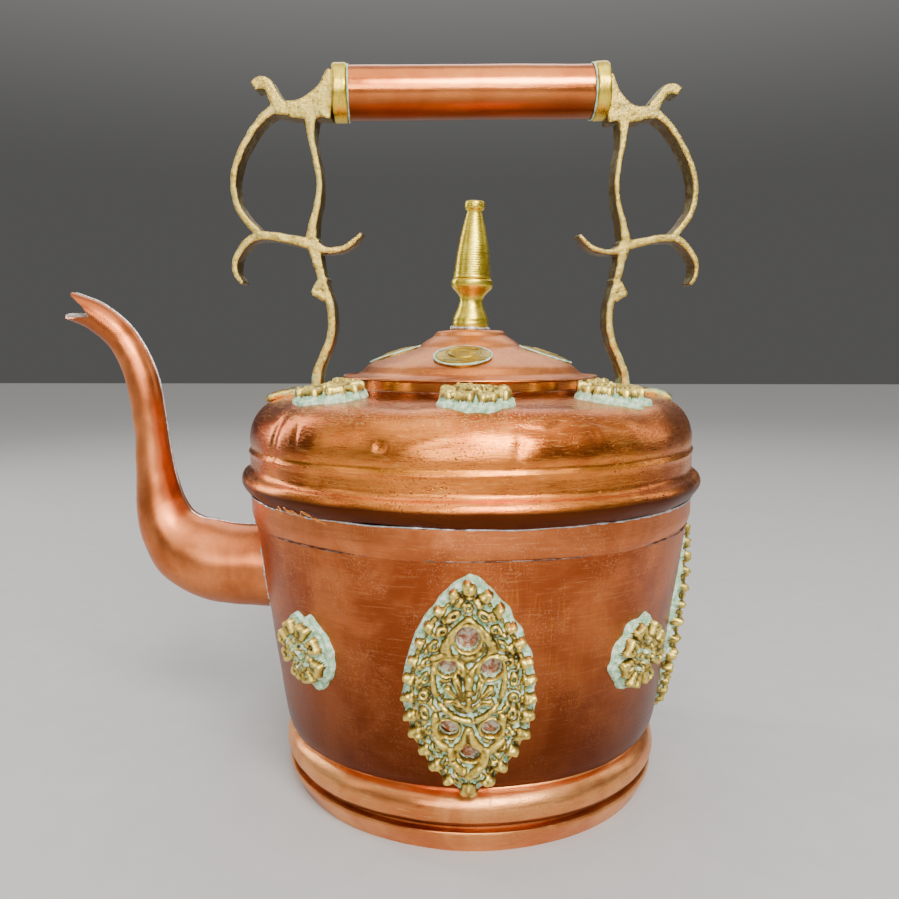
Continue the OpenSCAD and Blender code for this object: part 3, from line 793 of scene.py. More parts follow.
shoulderFields = [
    waves(31, 70, 0.3), waves(32, 24, 0.12), creaseLine,
    dent(atShoulder(-109.2, 181.8), 2.8, 2.8, 1.0, 0, 0.8),
    dent(atShoulder(-133, 185), 1.6, 6.5, 0.5, 14),
    dent(atShoulder(-142, 180), 3.0, 14.0, 0.7, -6),
    dent(atShoulder(-79.6, 182.5), 2.4, 5.5, 0.7, -14),
    dent(atShoulder(-101.6, 187.8), 9.0, 2.6, 0.55, 20),
    dent(atShoulder(-94.5, 181.6), 11.0, 2.8, 0.7, 6),
    dent(atShoulder(-76.5, 189.6), 9.0, 2.6, 0.7, -8),
    dent(atShoulder(-70.4, 191.2), 5.2, 1.5, 0.6, 24),
    dent(atShoulder(-57.8, 190.6), 7.4, 1.7, 0.8, -18),
    dent(atShoulder(-62, 187.0), 1.8, 3.6, 0.5, 10),
    dent(atShoulder(-117, 187.0), 8.0, 3.4, 0.4, -30),
    dent(atShoulder(20, 185.0), 9.0, 5.0, 0.8, 15),
    dent(atShoulder(75, 186.0), 6.0, 4.0, 0.9, -20),
    dent(atShoulder(150, 184.0), 8.0, 6.0, 0.7, 30),
]
addSheet(
    "shoulder", shoulderOutline, copperShoulder, segments=560, lining=tinned, slot="copper_spun",
    replaced=["shoulder"], fields=shoulderFields,
)
addWire("rimSolder", circle(wallHigh[0] + 1.7, band["high"] + 0.2, wobble=0.12, seed=8), 0.45, solder, seed=7,
        closed=True, slot="solder", replaced=["rim_solder"])



def addShreds(name, count, seed):
    # torn slivers of copper hanging where the bead was bent over the rim
    rng = np.random.default_rng(seed)
    faces, points, start = [], [], 0
    for k in range(count):
        a = math.radians(rng.uniform(-143, -124))
        r, z, swing = rng.uniform(114.6, 115.6), rng.uniform(150.2, 152.6), rng.uniform(0.03, 0.085)
        t = np.linspace(0, 1, 12)
        turn = a + swing * t
        radius = r + rng.uniform(0.2, 1.0) * np.sin(t * math.pi * rng.uniform(0.8, 1.6))
        high = z - rng.uniform(0.4, 2.0) * t + 0.4 * np.sin(t * rng.uniform(4, 9))
        path = np.stack([radius * np.cos(turn), radius * np.sin(turn), high], 1)
        way = heading(path)
        side = np.cross(way, [0, 0, 1.0])
        side /= np.linalg.norm(side, axis=1)[:, None]
        wide = 0.9 * np.sin(np.clip(t * 1.1 + 0.12, 0, 1) * math.pi) ** 0.5 + 0.15
        rings = barRings(path, side, np.cross(side, way), 0.35 + 0 * wide, wide, sides=8)
        points.append(rings.reshape(-1, 3))
        faces.append([f + 0 for f in barFaces(rings, start)])
        start += rings.shape[0] * rings.shape[1]
    addPiece(name, np.vstack(points), sum(faces, []), copperNeck, slot="copper_spun")


addShreds("rimShreds", 9, 47)

neck = {"radius": neckHigh[0], "low": neckLow[2], "high": neckHigh[2]}
addSheet(
    "neckRing", evenly(rounded([
        [neck["radius"] - 0.1, neck["low"]], [neck["radius"] - 0.1, domeHigh[2] + 1.5],
        [neck["radius"] - 0.05, neck["high"] - 0.3], [neck["radius"] - 0.7, neck["high"]],
    ], 0.5), 0.5), copperNeck, segments=300, slot="copper_spun", replaced=["neck_ring"],
    fields=[waves(41, 40, 0.08)],
)
addWire("neckSolder", circle(neck["radius"] + 0.3, domeHigh[2] + 0.2, 420, 0.05, 9), 0.4, warmSolder, seed=9,
        closed=True, slot="solder", replaced=["neck_solder"])
print("kettle: base, wall, shoulder and neck made")


# ---- spout ----

spout = {
    "stations": [
        (-94, 106, 44), (-112, 106, 44), (-126, 106.5, 44), (-140, 109.5, 43), (-152, 115.5, 39),
        (-160.5, 125.5, 32), (-164.7, 138, 25.5), (-166.5, 152, 21.5), (-168, 168, 19), (-169.3, 185, 17.8),
        (-171.3, 201, 17.4), (-175.5, 214.5, 16.8), (-183, 227.5, 16), (-193.5, 236.8, 15.2),
        (-203, 241.5, 14.4), (-218, 246.5, 13.6),
    ],
    "wall": 1.2, "around": 96, "along": 230, "notch": (-195.6, 237.4), "tip": -215.8, "lip": (-206.6, 249),
    "farEdge": 2.6,
}
spoutLine = evenly(curve(spout["stations"], 30), 0.5)
spoutWay = heading(spoutLine[:, :2])


def spoutPoint(index, angle, inset=0.0):
    # points of the tube at fractional positions along it and angles round it
    at = np.arange(len(spoutLine))
    x, z, d = (np.interp(index, at, spoutLine[:, k]) for k in range(3))
    hx, hz = (np.interp(index, at, spoutWay[:, k]) for k in range(2))
    r = d / 2 - inset
    return np.stack([x - hz * r * np.cos(angle), r * np.sin(angle), z + hx * r * np.cos(angle)], -1)


def beakEdge(y, z):
    # the lower lip's far edge stands higher than its near edge
    notchX, notchZ = spout["notch"]
    lipX, lipZ = spout["lip"]
    z = z - spout["farEdge"] * ease(-2, 6, y)
    stops = [0, notchZ - 1.2, notchZ, notchZ + 5, lipZ, lipZ + 60]
    return np.interp(z, stops, [spout["tip"], spout["tip"], notchX, notchX - 3.6, lipX, lipX])


def spoutRun(angle, inset):
    # where a line along the tube leaves the wall, and where the beak's edge ends it
    index = np.linspace(0, len(spoutLine) - 1, 4 * len(spoutLine))
    p = spoutPoint(index, angle + 0 * index, inset)
    outside = np.hypot(p[:, 0], p[:, 1]) > wallRadius(p[:, 2]) - 0.5
    past = p[:, 0] < beakEdge(p[:, 1], p[:, 2])
    return index[np.argmax(outside)], index[np.argmax(past)]


def addSpout():
    angle = np.linspace(0, 2 * math.pi, spout["around"], endpoint=False)
    run = np.array([spoutRun(a, 0) for a in angle])
    f = np.linspace(0, 1, spout["along"])[:, None]
    index = run[:, 0] + (run[:, 1] - run[:, 0]) * f
    angles = np.broadcast_to(angle, index.shape)
    outer = spoutPoint(index, angles)
    inner = spoutPoint(index, angles, spout["wall"])
    out = outer - spoutPoint(index, angles, 40)
    out /= np.linalg.norm(out, axis=-1)[..., None]
    moved = waves(51, 48, 0.22)(outer) + waves(52, 14, 0.05)(outer)
    for x, z, wide, deep in ((-178, 226, 6, 0.7), (-177, 190, 5, 0.6), (-176, 176, 7, 0.8), (-166, 122, 9, 0.9),
                             (-148, 96, 11, 0.8), (-158, 160, 6, 0.5), (-128, 88, 12, 0.6)):
        q = ((outer - np.array([x, -6, z])) ** 2).sum(-1) / wide**2
        moved -= deep * np.exp(-q)
    moved *= ease(0, 12, np.abs(outer[..., 0] + 105))
    outer, inner = (g + out * moved[..., None] for g in (outer, inner))
    # the columns run clockwise seen along the tube, so they are turned round
    return addSkin("spout", outer[:, ::-1], inner[:, ::-1], copperSpout, None, True, lining=tinned,
                   slot="copper_spun", replaced=["spout"])


addSpout()


def seamPath():
    first, last = spoutRun(math.pi, 0)
    index = np.linspace(first + 4, last - 3, 260)
    return spoutPoint(index, math.pi + 0 * index, -0.1)


addWire("spoutSeam", seamPath(), 0.5, solder, seed=17, rough=0.06, slot="solder", replaced=["spout_seam"])


def rootPath():
    angle = np.linspace(0, 2 * math.pi, 150, endpoint=False)
    index = np.array([spoutRun(a, 0)[0] for a in angle])
    ring = spoutPoint(index, angle)
    out = np.hypot(ring[:, 0], ring[:, 1])
    ring[:, :2] *= ((wallRadius(ring[:, 2]) + 0.2) / out)[:, None]
    return ring


addWire("spoutSolder", rootPath(), 0.6, solder, seed=19, rough=0.3, closed=True, slot="solder",
        replaced=["spout_solder"])
print("kettle: spout made")


# ---- cast ornaments ----


class Relief:
    # height map of a casting, drawn with soft strokes, in millimetres
    def __init__(self, halfWidth, halfHeight, step):
        self.u, self.v = np.meshgrid(
            np.arange(-halfWidth, halfWidth + step, step), np.arange(-halfHeight, halfHeight + step, step)
        )
        self.height = np.zeros_like(self.u)
        self.step = step

    def reach(self, points):
        # distance to a line, and how far along it the nearest place is
        p = np.array(points, float)
        best, along = np.full(self.u.shape, 1e9), np.zeros(self.u.shape)
        for i, (a, b) in enumerate(zip(p, p[1:])):
            d = b - a
            t = np.clip(((self.u - a[0]) * d[0] + (self.v - a[1]) * d[1]) / (d @ d + 1e-9), 0, 1)
            gap = np.hypot(self.u - a[0] - t * d[0], self.v - a[1] - t * d[1])
            near = gap < best
            best, along = np.where(near, gap, best), np.where(near, (i + t) / (len(p) - 1), along)
        return best, along

    def stroke(self, points, width, ground, height, taper=1.0, power=2.0):
        # a higher power leaves a flatter top and steeper flanks
        gap, along = self.reach(points)
        half = width / 2 * (1 + (taper - 1) * along)
        bead = np.clip(1 - (gap / half) ** power, 0, 1) ** (1 / power)
        self.height = np.where(gap < half, np.maximum(self.height, ground + height * bead), self.height)

    def groove(self, points, width, depth):
        gap = self.reach(points)[0]
        self.height = self.height - depth * np.clip(1 - (gap / width * 2) ** 2, 0, 1)

    def loop(self, centre, radius, squash=1.0, turn=0.0):
        a = np.linspace(0, 2 * math.pi, 17)
        u, v = radius * np.cos(a), radius * squash * np.sin(a)
        c, s = math.cos(turn), math.sin(turn)
        return np.stack([centre[0] + u * c - v * s, centre[1] + u * s + v * c], 1)

    def ring(self, centre, radius, width, ground, height, squash=1.0, turn=0.0):
        self.stroke(self.loop(centre, radius, squash, turn), width, ground, height)

    def crumbs(self, rng, centre, reach, count, ground, height, width=1.5):
        # short crooked ridges, as an old casting's blurred carving
        for k in range(count):
            far, a, way = reach * math.sqrt(rng.uniform()), rng.uniform(0, 6.3), rng.uniform(0, 6.3)
            at = np.array([centre[0] + far * math.cos(a), centre[1] + far * math.sin(a)])
            half = np.array([math.cos(way), math.sin(way)]) * rng.uniform(0.8, 1.7)
            bend = np.array([-half[1], half[0]]) * rng.uniform(-0.6, 0.6)
            self.stroke([at - half, at + bend, at + half], width * rng.uniform(0.75, 1.2), ground,
                        height * rng.uniform(0.7, 1.2))

    def blob(self, centre, radius, ground, height, squash=1.0, turn=0.0):
        c, s = math.cos(turn), math.sin(turn)
        du, dv = self.u - centre[0], self.v - centre[1]
        a, b = (du * c + dv * s) / radius, (dv * c - du * s) / (radius * squash)
        dome = np.sqrt(np.clip(1 - a * a - b * b, 0, 1))
        self.height = np.where(dome > 0, np.maximum(self.height, ground + height * dome), self.height)

    def pit(self, centre, radius, floor, squash=1.0, turn=0.0, lip=0.9):
        # a hole down to the floor, with a soft lip
        c, s = math.cos(turn), math.sin(turn)
        du, dv = self.u - centre[0], self.v - centre[1]
        a, b = (du * c + dv * s), (dv * c - du * s) / squash
        edge = ease(-lip / 2, lip / 2, np.hypot(a, b) - radius)
        self.height = floor + (self.height - floor) * edge

    def blur(self, field, times):
        for _ in range(times):
            p = np.pad(field, 1, mode="edge")
            field = (p[1:-1, 1:-1] * 2 + p[:-2, 1:-1] + p[2:, 1:-1] + p[1:-1, :-2] + p[1:-1, 2:]) / 6
        return field

    def build(self, name, inside, place, seed, tall=1.0, frost=0.0, bare=1.0, finish=None, **more):
        # inside is positive within the outline; the casting stops there
        flat = np.stack([self.u, self.v, 0 * self.u + seed * 37.0], -1)
        grain = waves(seed, 3.4, 0.18)(flat) + waves(seed + 1, 1.4, 0.08)(flat)
        raised = tall * self.height + grain * (self.height > 0.6)
        raised = self.blur(raised, 1)
        drop = ease(-0.35, 0.55, inside)
        raised = -0.7 + (raised + 0.7) * drop
        # how far each point lies below its neighbours; the relief finish paints shade and verdigris from it
        hollow = np.clip(0.40 + (self.blur(raised, 22) - raised) / (1.5 * tall), 0, 1)
        plate = np.maximum(ease(2.5, 1.9, self.height) * bare, frost)
        keep = inside > -1.0
        cells = keep[:-1, :-1] & keep[1:, :-1] & keep[:-1, 1:] & keep[1:, 1:]
        outer, inner = place(self.u, self.v, raised), place(self.u, self.v, 0 * raised - 1.1)
        marks = {"hollow": np.stack([hollow, hollow]), "plate": np.stack([plate, plate])}
        finish = finish or brassRelief
        return addSkin(name, outer, inner, finish, cells, marks=marks, slot="relief_brass", sharp=180, **more)


def onWall(azimuth, z0):
    start = math.radians(azimuth)

    def place(u, v, h):
        z = z0 + v
        r = wallRadius(z)
        a = start + u / r
        return np.stack([(r + h) * np.cos(a), (r + h) * np.sin(a), z - 0.1 * h], -1)

    return place


capLine = shoulderOutline[np.argmax(shoulderOutline[:, 1] > 176) :][::-1]
capWay = heading(capLine)


def onCap(azimuth, seat):
    # lies on the shoulder: v runs in towards the neck
    start = math.radians(azimuth)

    def place(u, v, h):
        rho = seat - v
        z = np.interp(rho, capLine[:, 0], capLine[:, 1])
        nr, nz = np.interp(rho, capLine[:, 0], -capWay[:, 1]), np.interp(rho, capLine[:, 0], capWay[:, 0])
        a = start + u / rho
        r = rho + h * nr
        return np.stack([r * np.cos(a), r * np.sin(a), z + h * nz], -1)

    return place


plaque = {
    "mid": 78.3, "width": plaqueHigh[0] - plaqueLow[0], "up": 53.5, "down": 49.0, "step": 0.42, "tall": 1.15,
    "dust": 0.3, "dustInset": 8.0,
    "windows": [(-0.6, 104, 5.0, 1.15, 0), (-8.6, 91, 3.9, 0.92, 0.35), (9.0, 91, 4.3, 1.2, -0.5),
                (-8.3, 62.6, 4.1, 0.9, -0.3), (9.2, 63.2, 4.1, 0.9, 0.3), (0.4, 51.4, 4.2, 0.9, 0)],
}


def almond(v, grow=0.0):
    # half width of the plaque at height v from its widest line
    reach = np.where(v > 0, plaque["up"], plaque["down"]) + grow
    return (plaque["width"] / 2 + grow) * np.clip(1 - (v / reach) ** 2, 1e-4, 1) ** 0.84


def almondPath(inset, count=200):
    # closed line inside the outline, from the bottom tip up the right and down the left
    up = np.sin(np.linspace(-math.pi / 2, math.pi / 2, count))
    v = np.where(up > 0, up * (plaque["up"] - inset * 1.25), up * (plaque["down"] - inset * 1.25))
    right = np.stack([almond(v, -inset), v], 1)
    return np.vstack([right, right[::-1] * [-1, 1]])


def drawPlaque(seed):
    r = Relief(plaque["width"] / 2 + 2, max(plaque["up"], plaque["down"]) + 2, plaque["step"])
    rng = np.random.default_rng(seed)
    flat = np.stack([r.u, r.v, 0 * r.u], -1)
    edge = almond(r.v) - np.abs(r.u)
    slope = np.hypot(*np.gradient(edge, r.step))
    inside = edge / np.maximum(slope, 0.6) + 0.35 * waves(seed, 9, 1)(flat)
    inside = np.minimum(inside, (plaque["up"] + 0.5 - r.v) * 1.0)
    depth = inside + 0.35 * waves(seed + 5, 5, 1)(flat)
    r.height = 1.5 + 1.9 * ease(3.2, 4.4, depth)
    path = evenly(almondPath(2.9), 8.6)
    for p, way in zip(path, heading(path)):  # blunt knobs round the rim, further in towards the top
        out = np.array([way[1], -way[0]])
        p = p - out * (0.9 * ease(4, 34, p[1]) + 0.9 * ease(2, -14, p[0]) * ease(-4, 14, p[1]))
        lean = way * rng.uniform(-0.8, 0.8)
        tall, wide = rng.uniform(3.4, 4.2), rng.uniform(5.0, 6.2)
        r.stroke([p - out * 2.6, p + out * rng.uniform(0.6, 1.4) + lean], wide, 1.9, tall, 0.72, 3.0)
        r.blob(p - out * 1.0 - lean, wide * 0.42, 2.6, tall - 0.2, 0.8, rng.uniform(0, 3))
    r.height += 0.9 * ease(6.6, 7.6, depth) * (1 - ease(13.4, 14.6, depth))
    r.groove(almondPath(6.6), 1.5, 1.3)
    r.groove(almondPath(14.4), 1.7, 1.3)
    band = evenly(almondPath(10.6), 7.9)
    for i, (p, way) in enumerate(zip(band, heading(band))):  # round and long eyelets by turns
        turn = math.atan2(way[1], way[0]) + rng.uniform(-0.3, 0.3)
        p = p + rng.uniform(-0.5, 0.5, 2)
        size, squash = ((3.3, 0.66), (2.2, 1.0))[i % 2]
        r.groove(r.loop(p, size + 0.7, squash, turn), 1.3, 1.2)
        r.ring(p, size * 0.62, 1.5, 3.6, 1.5, squash, turn)
        r.pit(p, size * 0.24, 2.6, squash, turn, 0.8)
    r.crumbs(rng, (0, -16), 16, 46, 3.0, 1.1)
    r.crumbs(rng, (0, 14), 12, 22, 3.0, 1.0)
    for side in (-1, 1):
        straps = [
            [(0, 34), (side * 6.8, 27), (side * 9.4, 20.5), (side * 4.6, 14), (0, 10.2)],
            [(side * 14, 17.5), (side * 9.6, 18.4), (side * 5, 14)],
            [(side * 13.5, -9), (side * 12.6, -20), (side * 7.2, -24.8), (side * 2.6, -21.5), (0, -15)],
            [(side * 7.2, -24.8), (side * 5.8, -31), (0, -37)],
            [(side * 13.4, 15), (side * 14.4, 8), (side * 13.2, 1)],
        ]
        for line, wide in zip(straps, (4.6, 3.6, 3.8, 3.8, 2.8)):
            line = curve(line, 6)
            r.groove(line, wide + 1.8, 0.7)
            r.stroke(line, wide, 2.9, 3.0 * rng.uniform(0.92, 1.08), 1.0, 2.6)
        curl = [
            (side * (11.4 + 3.0 * k * math.cos(6 * k)), -4.5 + 3.0 * k * math.sin(6 * k))
            for k in np.linspace(0.2, 1, 12)
        ]
        r.stroke(curl, 2.0, 3.0, 1.9)
        for x, y, wide in ((8.4, 3.6, 4.0), (5.0, 7.6, 4.2), (8.8, -2.4, 3.6)):  # leaves of the middle flower
            line = curve([(side * 0.8, -4.5), (side * x * 0.62, y * 0.4 - 1.4), (side * x, y)], 5)
            r.groove(line, wide + 1.4, 0.6)
            r.stroke(line, wide * 0.7, 3.2, 2.6, 1.25)
            r.groove(line[4:], 0.9, 1.1)
    r.stroke([(0, -5), (0, 8.8)], 3.4, 3.6, 2.8, 1.2)
    r.blob((0, 2.4), 2.4, 4.6, 2.2)
    r.groove(r.loop((0, 2.4), 1.5), 0.8, 0.9)
    smile = curve([(-10, -5.2), (-5, -9.4), (0, -10.6), (5, -9.4), (10, -5.2)], 6)
    r.stroke(smile, 3.0, 3.0, 2.7, 1.0, 2.6)
    for k in range(44):  # eaten pits
        at = (rng.uniform(-20, 20), rng.uniform(-40, 42))
        if abs(at[0]) < almond(np.array(at[1]), -5):
            r.groove(
                [at, (at[0] + rng.uniform(-1.2, 1.2), at[1] + rng.uniform(-1.2, 1.2))],
                rng.uniform(1.0, 1.8), 1.3,
            )
    for x, z, radius, squash, turn in plaque["windows"]:
        at = (x, z - plaque["mid"])
        r.groove(r.loop(at, radius + 1.6, squash, turn), 2.2, 0.8)
        r.ring(at, radius + 0.7, 1.4, 2.5, 1.5, squash, turn)
        r.pit(at, radius, -0.8, squash, turn)
    return r, inside


def addPlaque(name, node, azimuth, seed):
    r, inside = drawPlaque(seed)
    bare = 0.52 + 0.48 * ease(-6, 16, r.v + 0.4 * np.abs(r.u))
    r.build(name, inside, onWall(azimuth, plaque["mid"]), seed, plaque["tall"], bare=bare, replaced=[node])
    r.height = 0 * r.u + plaque["dust"]
    r.build(
        name + "Dust", inside - plaque["dustInset"], onWall(azimuth, plaque["mid"]), seed,
        finish=dustyCopper,
    )


addPlaque("plaqueFront", "medallion_front", front, 61)
addPlaque("plaqueRight", "medallion_right", 0, 63)
addPlaque("plaqueBack", "medallion_back", 90, 65)

rosette = {"radius": 18.0, "step": 0.4, "wallZ": 86.0, "capSeat": 82.0, "tall": 1.22}


def drawRosette(seed, shift):
    size = rosette["radius"] + 3
    r = Relief(size, size, rosette["step"])
    rng = np.random.default_rng(seed)
    du, dv = r.u - shift[0], r.v - shift[1]
    angle, far = np.arctan2(dv, du), np.hypot(du, dv)
    lobed = rosette["radius"] * (0.98 - 0.08 * np.abs(np.cos(4 * angle)) ** 5)
    wobble = 0.5 * waves(seed, 10, 1)(np.stack([r.u, r.v, 0 * r.u], -1))
    inside = lobed - far + wobble  # the backing plate, set a little off the casting
    r.height = 1.5 + 1.4 * ease(10.5, 9.2, np.hypot(r.u, r.v))
    for k in range(8):  # square-ended lobes, some with an eye
        a = math.radians(22.5 + 45 * k + rng.uniform(-5, 5))
        way, side = np.array([math.cos(a), math.sin(a)]), np.array([-math.sin(a), math.cos(a)])
        tall, wide = rng.uniform(3.0, 3.8), rng.uniform(2.0, 2.7)
        end = rng.uniform(13.0, 14.4)
        for off in (-1, 1):
            r.stroke([way * 7 + side * off * 1.2, way * end + side * off * wide], 3.6, 1.9, tall, 1.0, 3.0)
        r.stroke([way * end - side * wide, way * end + side * wide], 3.2, 1.9, tall + 0.2, 1.0, 3.0)
        if rng.uniform() < 0.6:
            r.groove(r.loop(way * (end - 1.6), 1.2, 0.8, a), 1.1, 1.9)
        r.groove([way * 8.2 - side * 2.6, way * 8.2 + side * 2.6], 1.0, 1.2)
    r.crumbs(rng, (0, 0), 8.4, 34, 3.6, 1.7)
    r.crumbs(rng, (0, 0), 4.4, 12, 4.6, 1.6)
    for k in range(16):
        a, out = rng.uniform(0, 6.3), rng.uniform(1, 9)
        at = np.array([out * math.cos(a), out * math.sin(a)])
        r.groove([at, at + rng.uniform(-1.3, 1.3, 2)], rng.uniform(0.9, 1.5), 1.6)
    return r, inside


def frosted(r, reach, amount):
    # pale corrosion that has crept over the middle of a casting
    flat = np.stack([r.u, r.v, 0 * r.u], -1)
    return amount * ease(reach + 2, reach - 2, np.hypot(r.u, r.v)) + 0.1 * waves(5, 4, 1)(flat)


wallRosettes = {"front_right": -43.5, "back_right": 45, "back_left": 135, "front_left": -135}
for i, (where, azimuth) in enumerate(wallRosettes.items()):
    toMiddle = -1 if "right" in where else 1
    r, inside = drawRosette(71 + 2 * i, (1.3 * toMiddle, -0.6))
    name = "wallRosette" + where.title().replace("_", "")
    r.build(name, inside, onWall(azimuth, rosette["wallZ"]), 71 + 2 * i, rosette["tall"], frosted(r, 9.5, 0.5),
            replaced=["body_rosette_" + where])

capRosettes = {
    "front": -88.2, "front_right": -38, "back_right": 38,
    "back": 90, "back_left": 142, "front_left": -142,
}
for i, (where, azimuth) in enumerate(capRosettes.items()):
    r, inside = drawRosette(91 + 2 * i, (0, -0.9))
    name = "capRosette" + where.title().replace("_", "")
    r.build(name, inside, onCap(azimuth, rosette["capSeat"]), 91 + 2 * i, rosette["tall"], frosted(r, 9, 0.2),
            replaced=["shoulder_rosette_" + where])
print("kettle: cast ornaments made")


# ---- handle ----

handle = {
    "turn": 5.0, "tilt": 1.3, "leftTwist": -6.0, "rightTwist": 3.0, "gripZ": (gripLow[2] + gripHigh[2]) / 2,
    "half": 61.5, "collar": 7.0, "depth": 12.0, "leftSlim": 0.78, "rightSlim": 0.68,
    "voxel": 0.5, "toeSplay": 24,
    "post": 75, "knot": 274, "leftSag": 0.6, "leftReach": 0.045, "leftLean": 0.04,
}
rise = handle["half"] * math.sin(math.radians(handle["tilt"]))
handle["gripR"] = (gripHigh[2] - gripLow[2]) / 2 - rise


def gripFrame():
    turn, tilt = math.radians(handle["turn"]), math.radians(-handle["tilt"])
    seat = Matrix.Translation((0, 0, handle["gripZ"]))
    return seat @ Matrix.Rotation(turn, 4, "Z") @ Matrix.Rotation(tilt, 4, "Y")


def straps():
    # each strap as distance from the axis, height and width
    g = handle["gripZ"]
    return [
        [(69.2, g + 8.5, 3.4), (69.8, g + 1, 6.8), (70.8, g - 8, 9.6), (72, g - 14, 10.5)],
        [(69.6, g + 8, 3), (72, g, 6.6), (76.6, g - 6.4, 9), (83, g - 9.4, 9.4), (92, g - 9.2, 9)],
        [(70.4, g - 10, 9), (77, g - 11.4, 9.6), (86, g - 11, 7.5)],
        [(104.8, 349.5, 6.4), (101.8, 351.1, 7.8), (98, 350.3, 7.2), (95.2, 346.6, 6.8), (91.5, 341.5, 9)],
        [(89, 341.5, 7.5), (98.5, 335, 5), (105.5, 326.5, 4.2), (111.5, 316, 4), (114.8, 305, 4),
         (114.2, 294, 4), (110.5, 286, 4.2), (104.5, 279, 5)],
        [(76.6, 336, 9), (76.4, 326, 4.8), (74.6, 314, 3.8), (73.6, 304, 3.6), (74.8, 294, 3.8),
         (77.5, 284, 5), (79.5, 274, 8)],
        [(76, 272.5, 8), (86, 275, 6), (97, 277.2, 5.4), (106, 277, 5.2), (112, 272.5, 4.4),
         (116.4, 265.5, 3.8), (116.6, 259, 3.2), (114, 254, 2.4)],
        [(79, 273, 7), (72, 270.2, 4), (64, 271.2, 3.6), (58.5, 274.6, 3.2), (54.8, 278.4, 2.2)],
        [(78.5, 274, 9), (76.5, 264, 6), (74.5, 254, 5.2), (71.8, 244, 5), (71.2, 234, 5), (73, 225, 5.2),
         (77, 216, 5.4), (80, 208, 6), (81, 196.5, 7.2)],
        [(73.5, 257, 5), (76.4, 252.8, 6.4), (80, 249, 2.6)],
        [(74, 246, 4), (76.6, 248.4, 5), (80, 249, 2.6)],
    ]


def onSide(strap, side):
    # the left bracket leans out a little more than the right; its root keeps to the grip's end
    p = np.array(strap, float)
    if side > 0:
        return p
    shift = handle["leftSag"] + handle["leftReach"] * (p[:, 0] - handle["post"])
    shift += handle["leftLean"] * (p[:, 1] - handle["knot"])
    end = handle["half"] + handle["collar"]
    share = np.where(p[:, 1] > handle["gripZ"] - 21, np.clip((p[:, 0] - end + 2) / 12, 0, 1), 1)
    share = share * (1 - 0.5 * ease(342, 350, p[:, 1]))
    return np.stack([p[:, 0] + shift * share, p[:, 1], p[:, 2]], 1)


def bracketMesh(side):
    points, faces = [], []

    def put(rings):
        start = sum(len(p) for p in points)
        points.append(rings.reshape(-1, 3))
        faces.extend(f.tolist() for f in barFaces(rings, start))

    for strap in straps():
        line = evenly(curve(onSide(strap, side), 10), 0.8)
        way = heading(line[:, :2])
        path = np.stack([line[:, 0], 0 * line[:, 0], line[:, 1]], 1)
        across = np.stack([way[:, 1], 0 * way[:, 0], -way[:, 0]], 1)
        deep = np.broadcast_to([0, 1.0, 0], path.shape)
        depths = np.minimum(handle["depth"], 5.5 + line[:, 2] * 2.2)
        slim = handle["leftSlim" if side < 0 else "rightSlim"]
        put(barRings(path, across, deep, line[:, 2] * slim, depths, 8.0, 32))
    for splay in (-1, 1):  # toes that lie on the shoulder
        a = math.radians(splay * handle["toeSplay"])
        far = np.linspace(-4, 28, 40)
        x, y = 77 + far * math.cos(a), splay * 1.5 + far * math.sin(a)
        r = np.hypot(x, y)
        path = np.stack([x, y, np.interp(r, capLine[:, 0], capLine[:, 1]) + 1.6], 1)
        way = heading(path)
        across = np.cross(way, [0, 0, 1.0])
        across /= np.linalg.norm(across, axis=1)[:, None]
        width = np.interp(far, [-4, 4, 20, 26, 28], [7, 7.4, 7, 5.6, 2.6])
        put(barRings(path, across, np.cross(across, way), width, width * 0.62, 3.0, 24))
    hinge = Matrix.Translation((handle["half"] + handle["collar"], 0, 0))
    twist = Matrix.Rotation(math.radians(handle["leftTwist" if side < 0 else "rightTwist"]), 4, "Z")
    turn = Matrix.Rotation(math.radians(handle["turn"] + (0 if side > 0 else 180)), 4, "Z")
    place = np.array(turn @ hinge @ twist @ hinge.inverted())
    p = np.vstack(points) @ place[:3, :3].T + place[:3, 3]
    rough = bpy.data.meshes.new("bracketRough")
    rough.from_pydata((p / 1000).tolist(), [], sum(faces, []))
    return rough


def addBracket(name, node, side, seed):
    rough = bracketMesh(side)
    holder = bpy.data.objects.new("holder", rough)
    bpy.context.scene.collection.objects.link(holder)
    remesh = holder.modifiers.new("join", "REMESH")
    remesh.mode = "VOXEL"
    remesh.voxel_size = handle["voxel"] / 1000
    soften = holder.modifiers.new("soften", "SMOOTH")
    soften.factor = 0.5
    soften.iterations = 2
    mesh = bpy.data.meshes.new_from_object(holder.evaluated_get(bpy.context.evaluated_depsgraph_get()))
    bpy.data.objects.remove(holder)
    bpy.data.meshes.remove(rough)
    mesh.name = name
    count = len(mesh.vertices)
    co, normal = np.empty(count * 3, np.float32), np.empty(count * 3, np.float32)
    mesh.vertices.foreach_get("co", co)
    mesh.vertices.foreach_get("normal", normal)
    co, normal = co.reshape(-1, 3).astype(float), normal.reshape(-1, 3)
    lump = 0.2 + waves(seed, 7, 0.08)(co * 1000) + waves(seed + 1, 2.2, 0.035)(co * 1000)
    mesh.vertices.foreach_set("co", (co + normal * lump[:, None] / 1000).ravel())
    mesh.update()
    return register(mesh, name, brassCast, "kettle", [node], 180)


addBracket("bracketLeft", "bracket_left", -1, 101)
addBracket("bracketRight", "bracket_right", 1, 103)


def alongGrip(start):
    # turned pieces of the grip lie along the handle, from this distance out
    return gripFrame() @ Matrix.Translation((start, 0, 0)) @ Matrix.Rotation(math.pi / 2, 4, "Y")


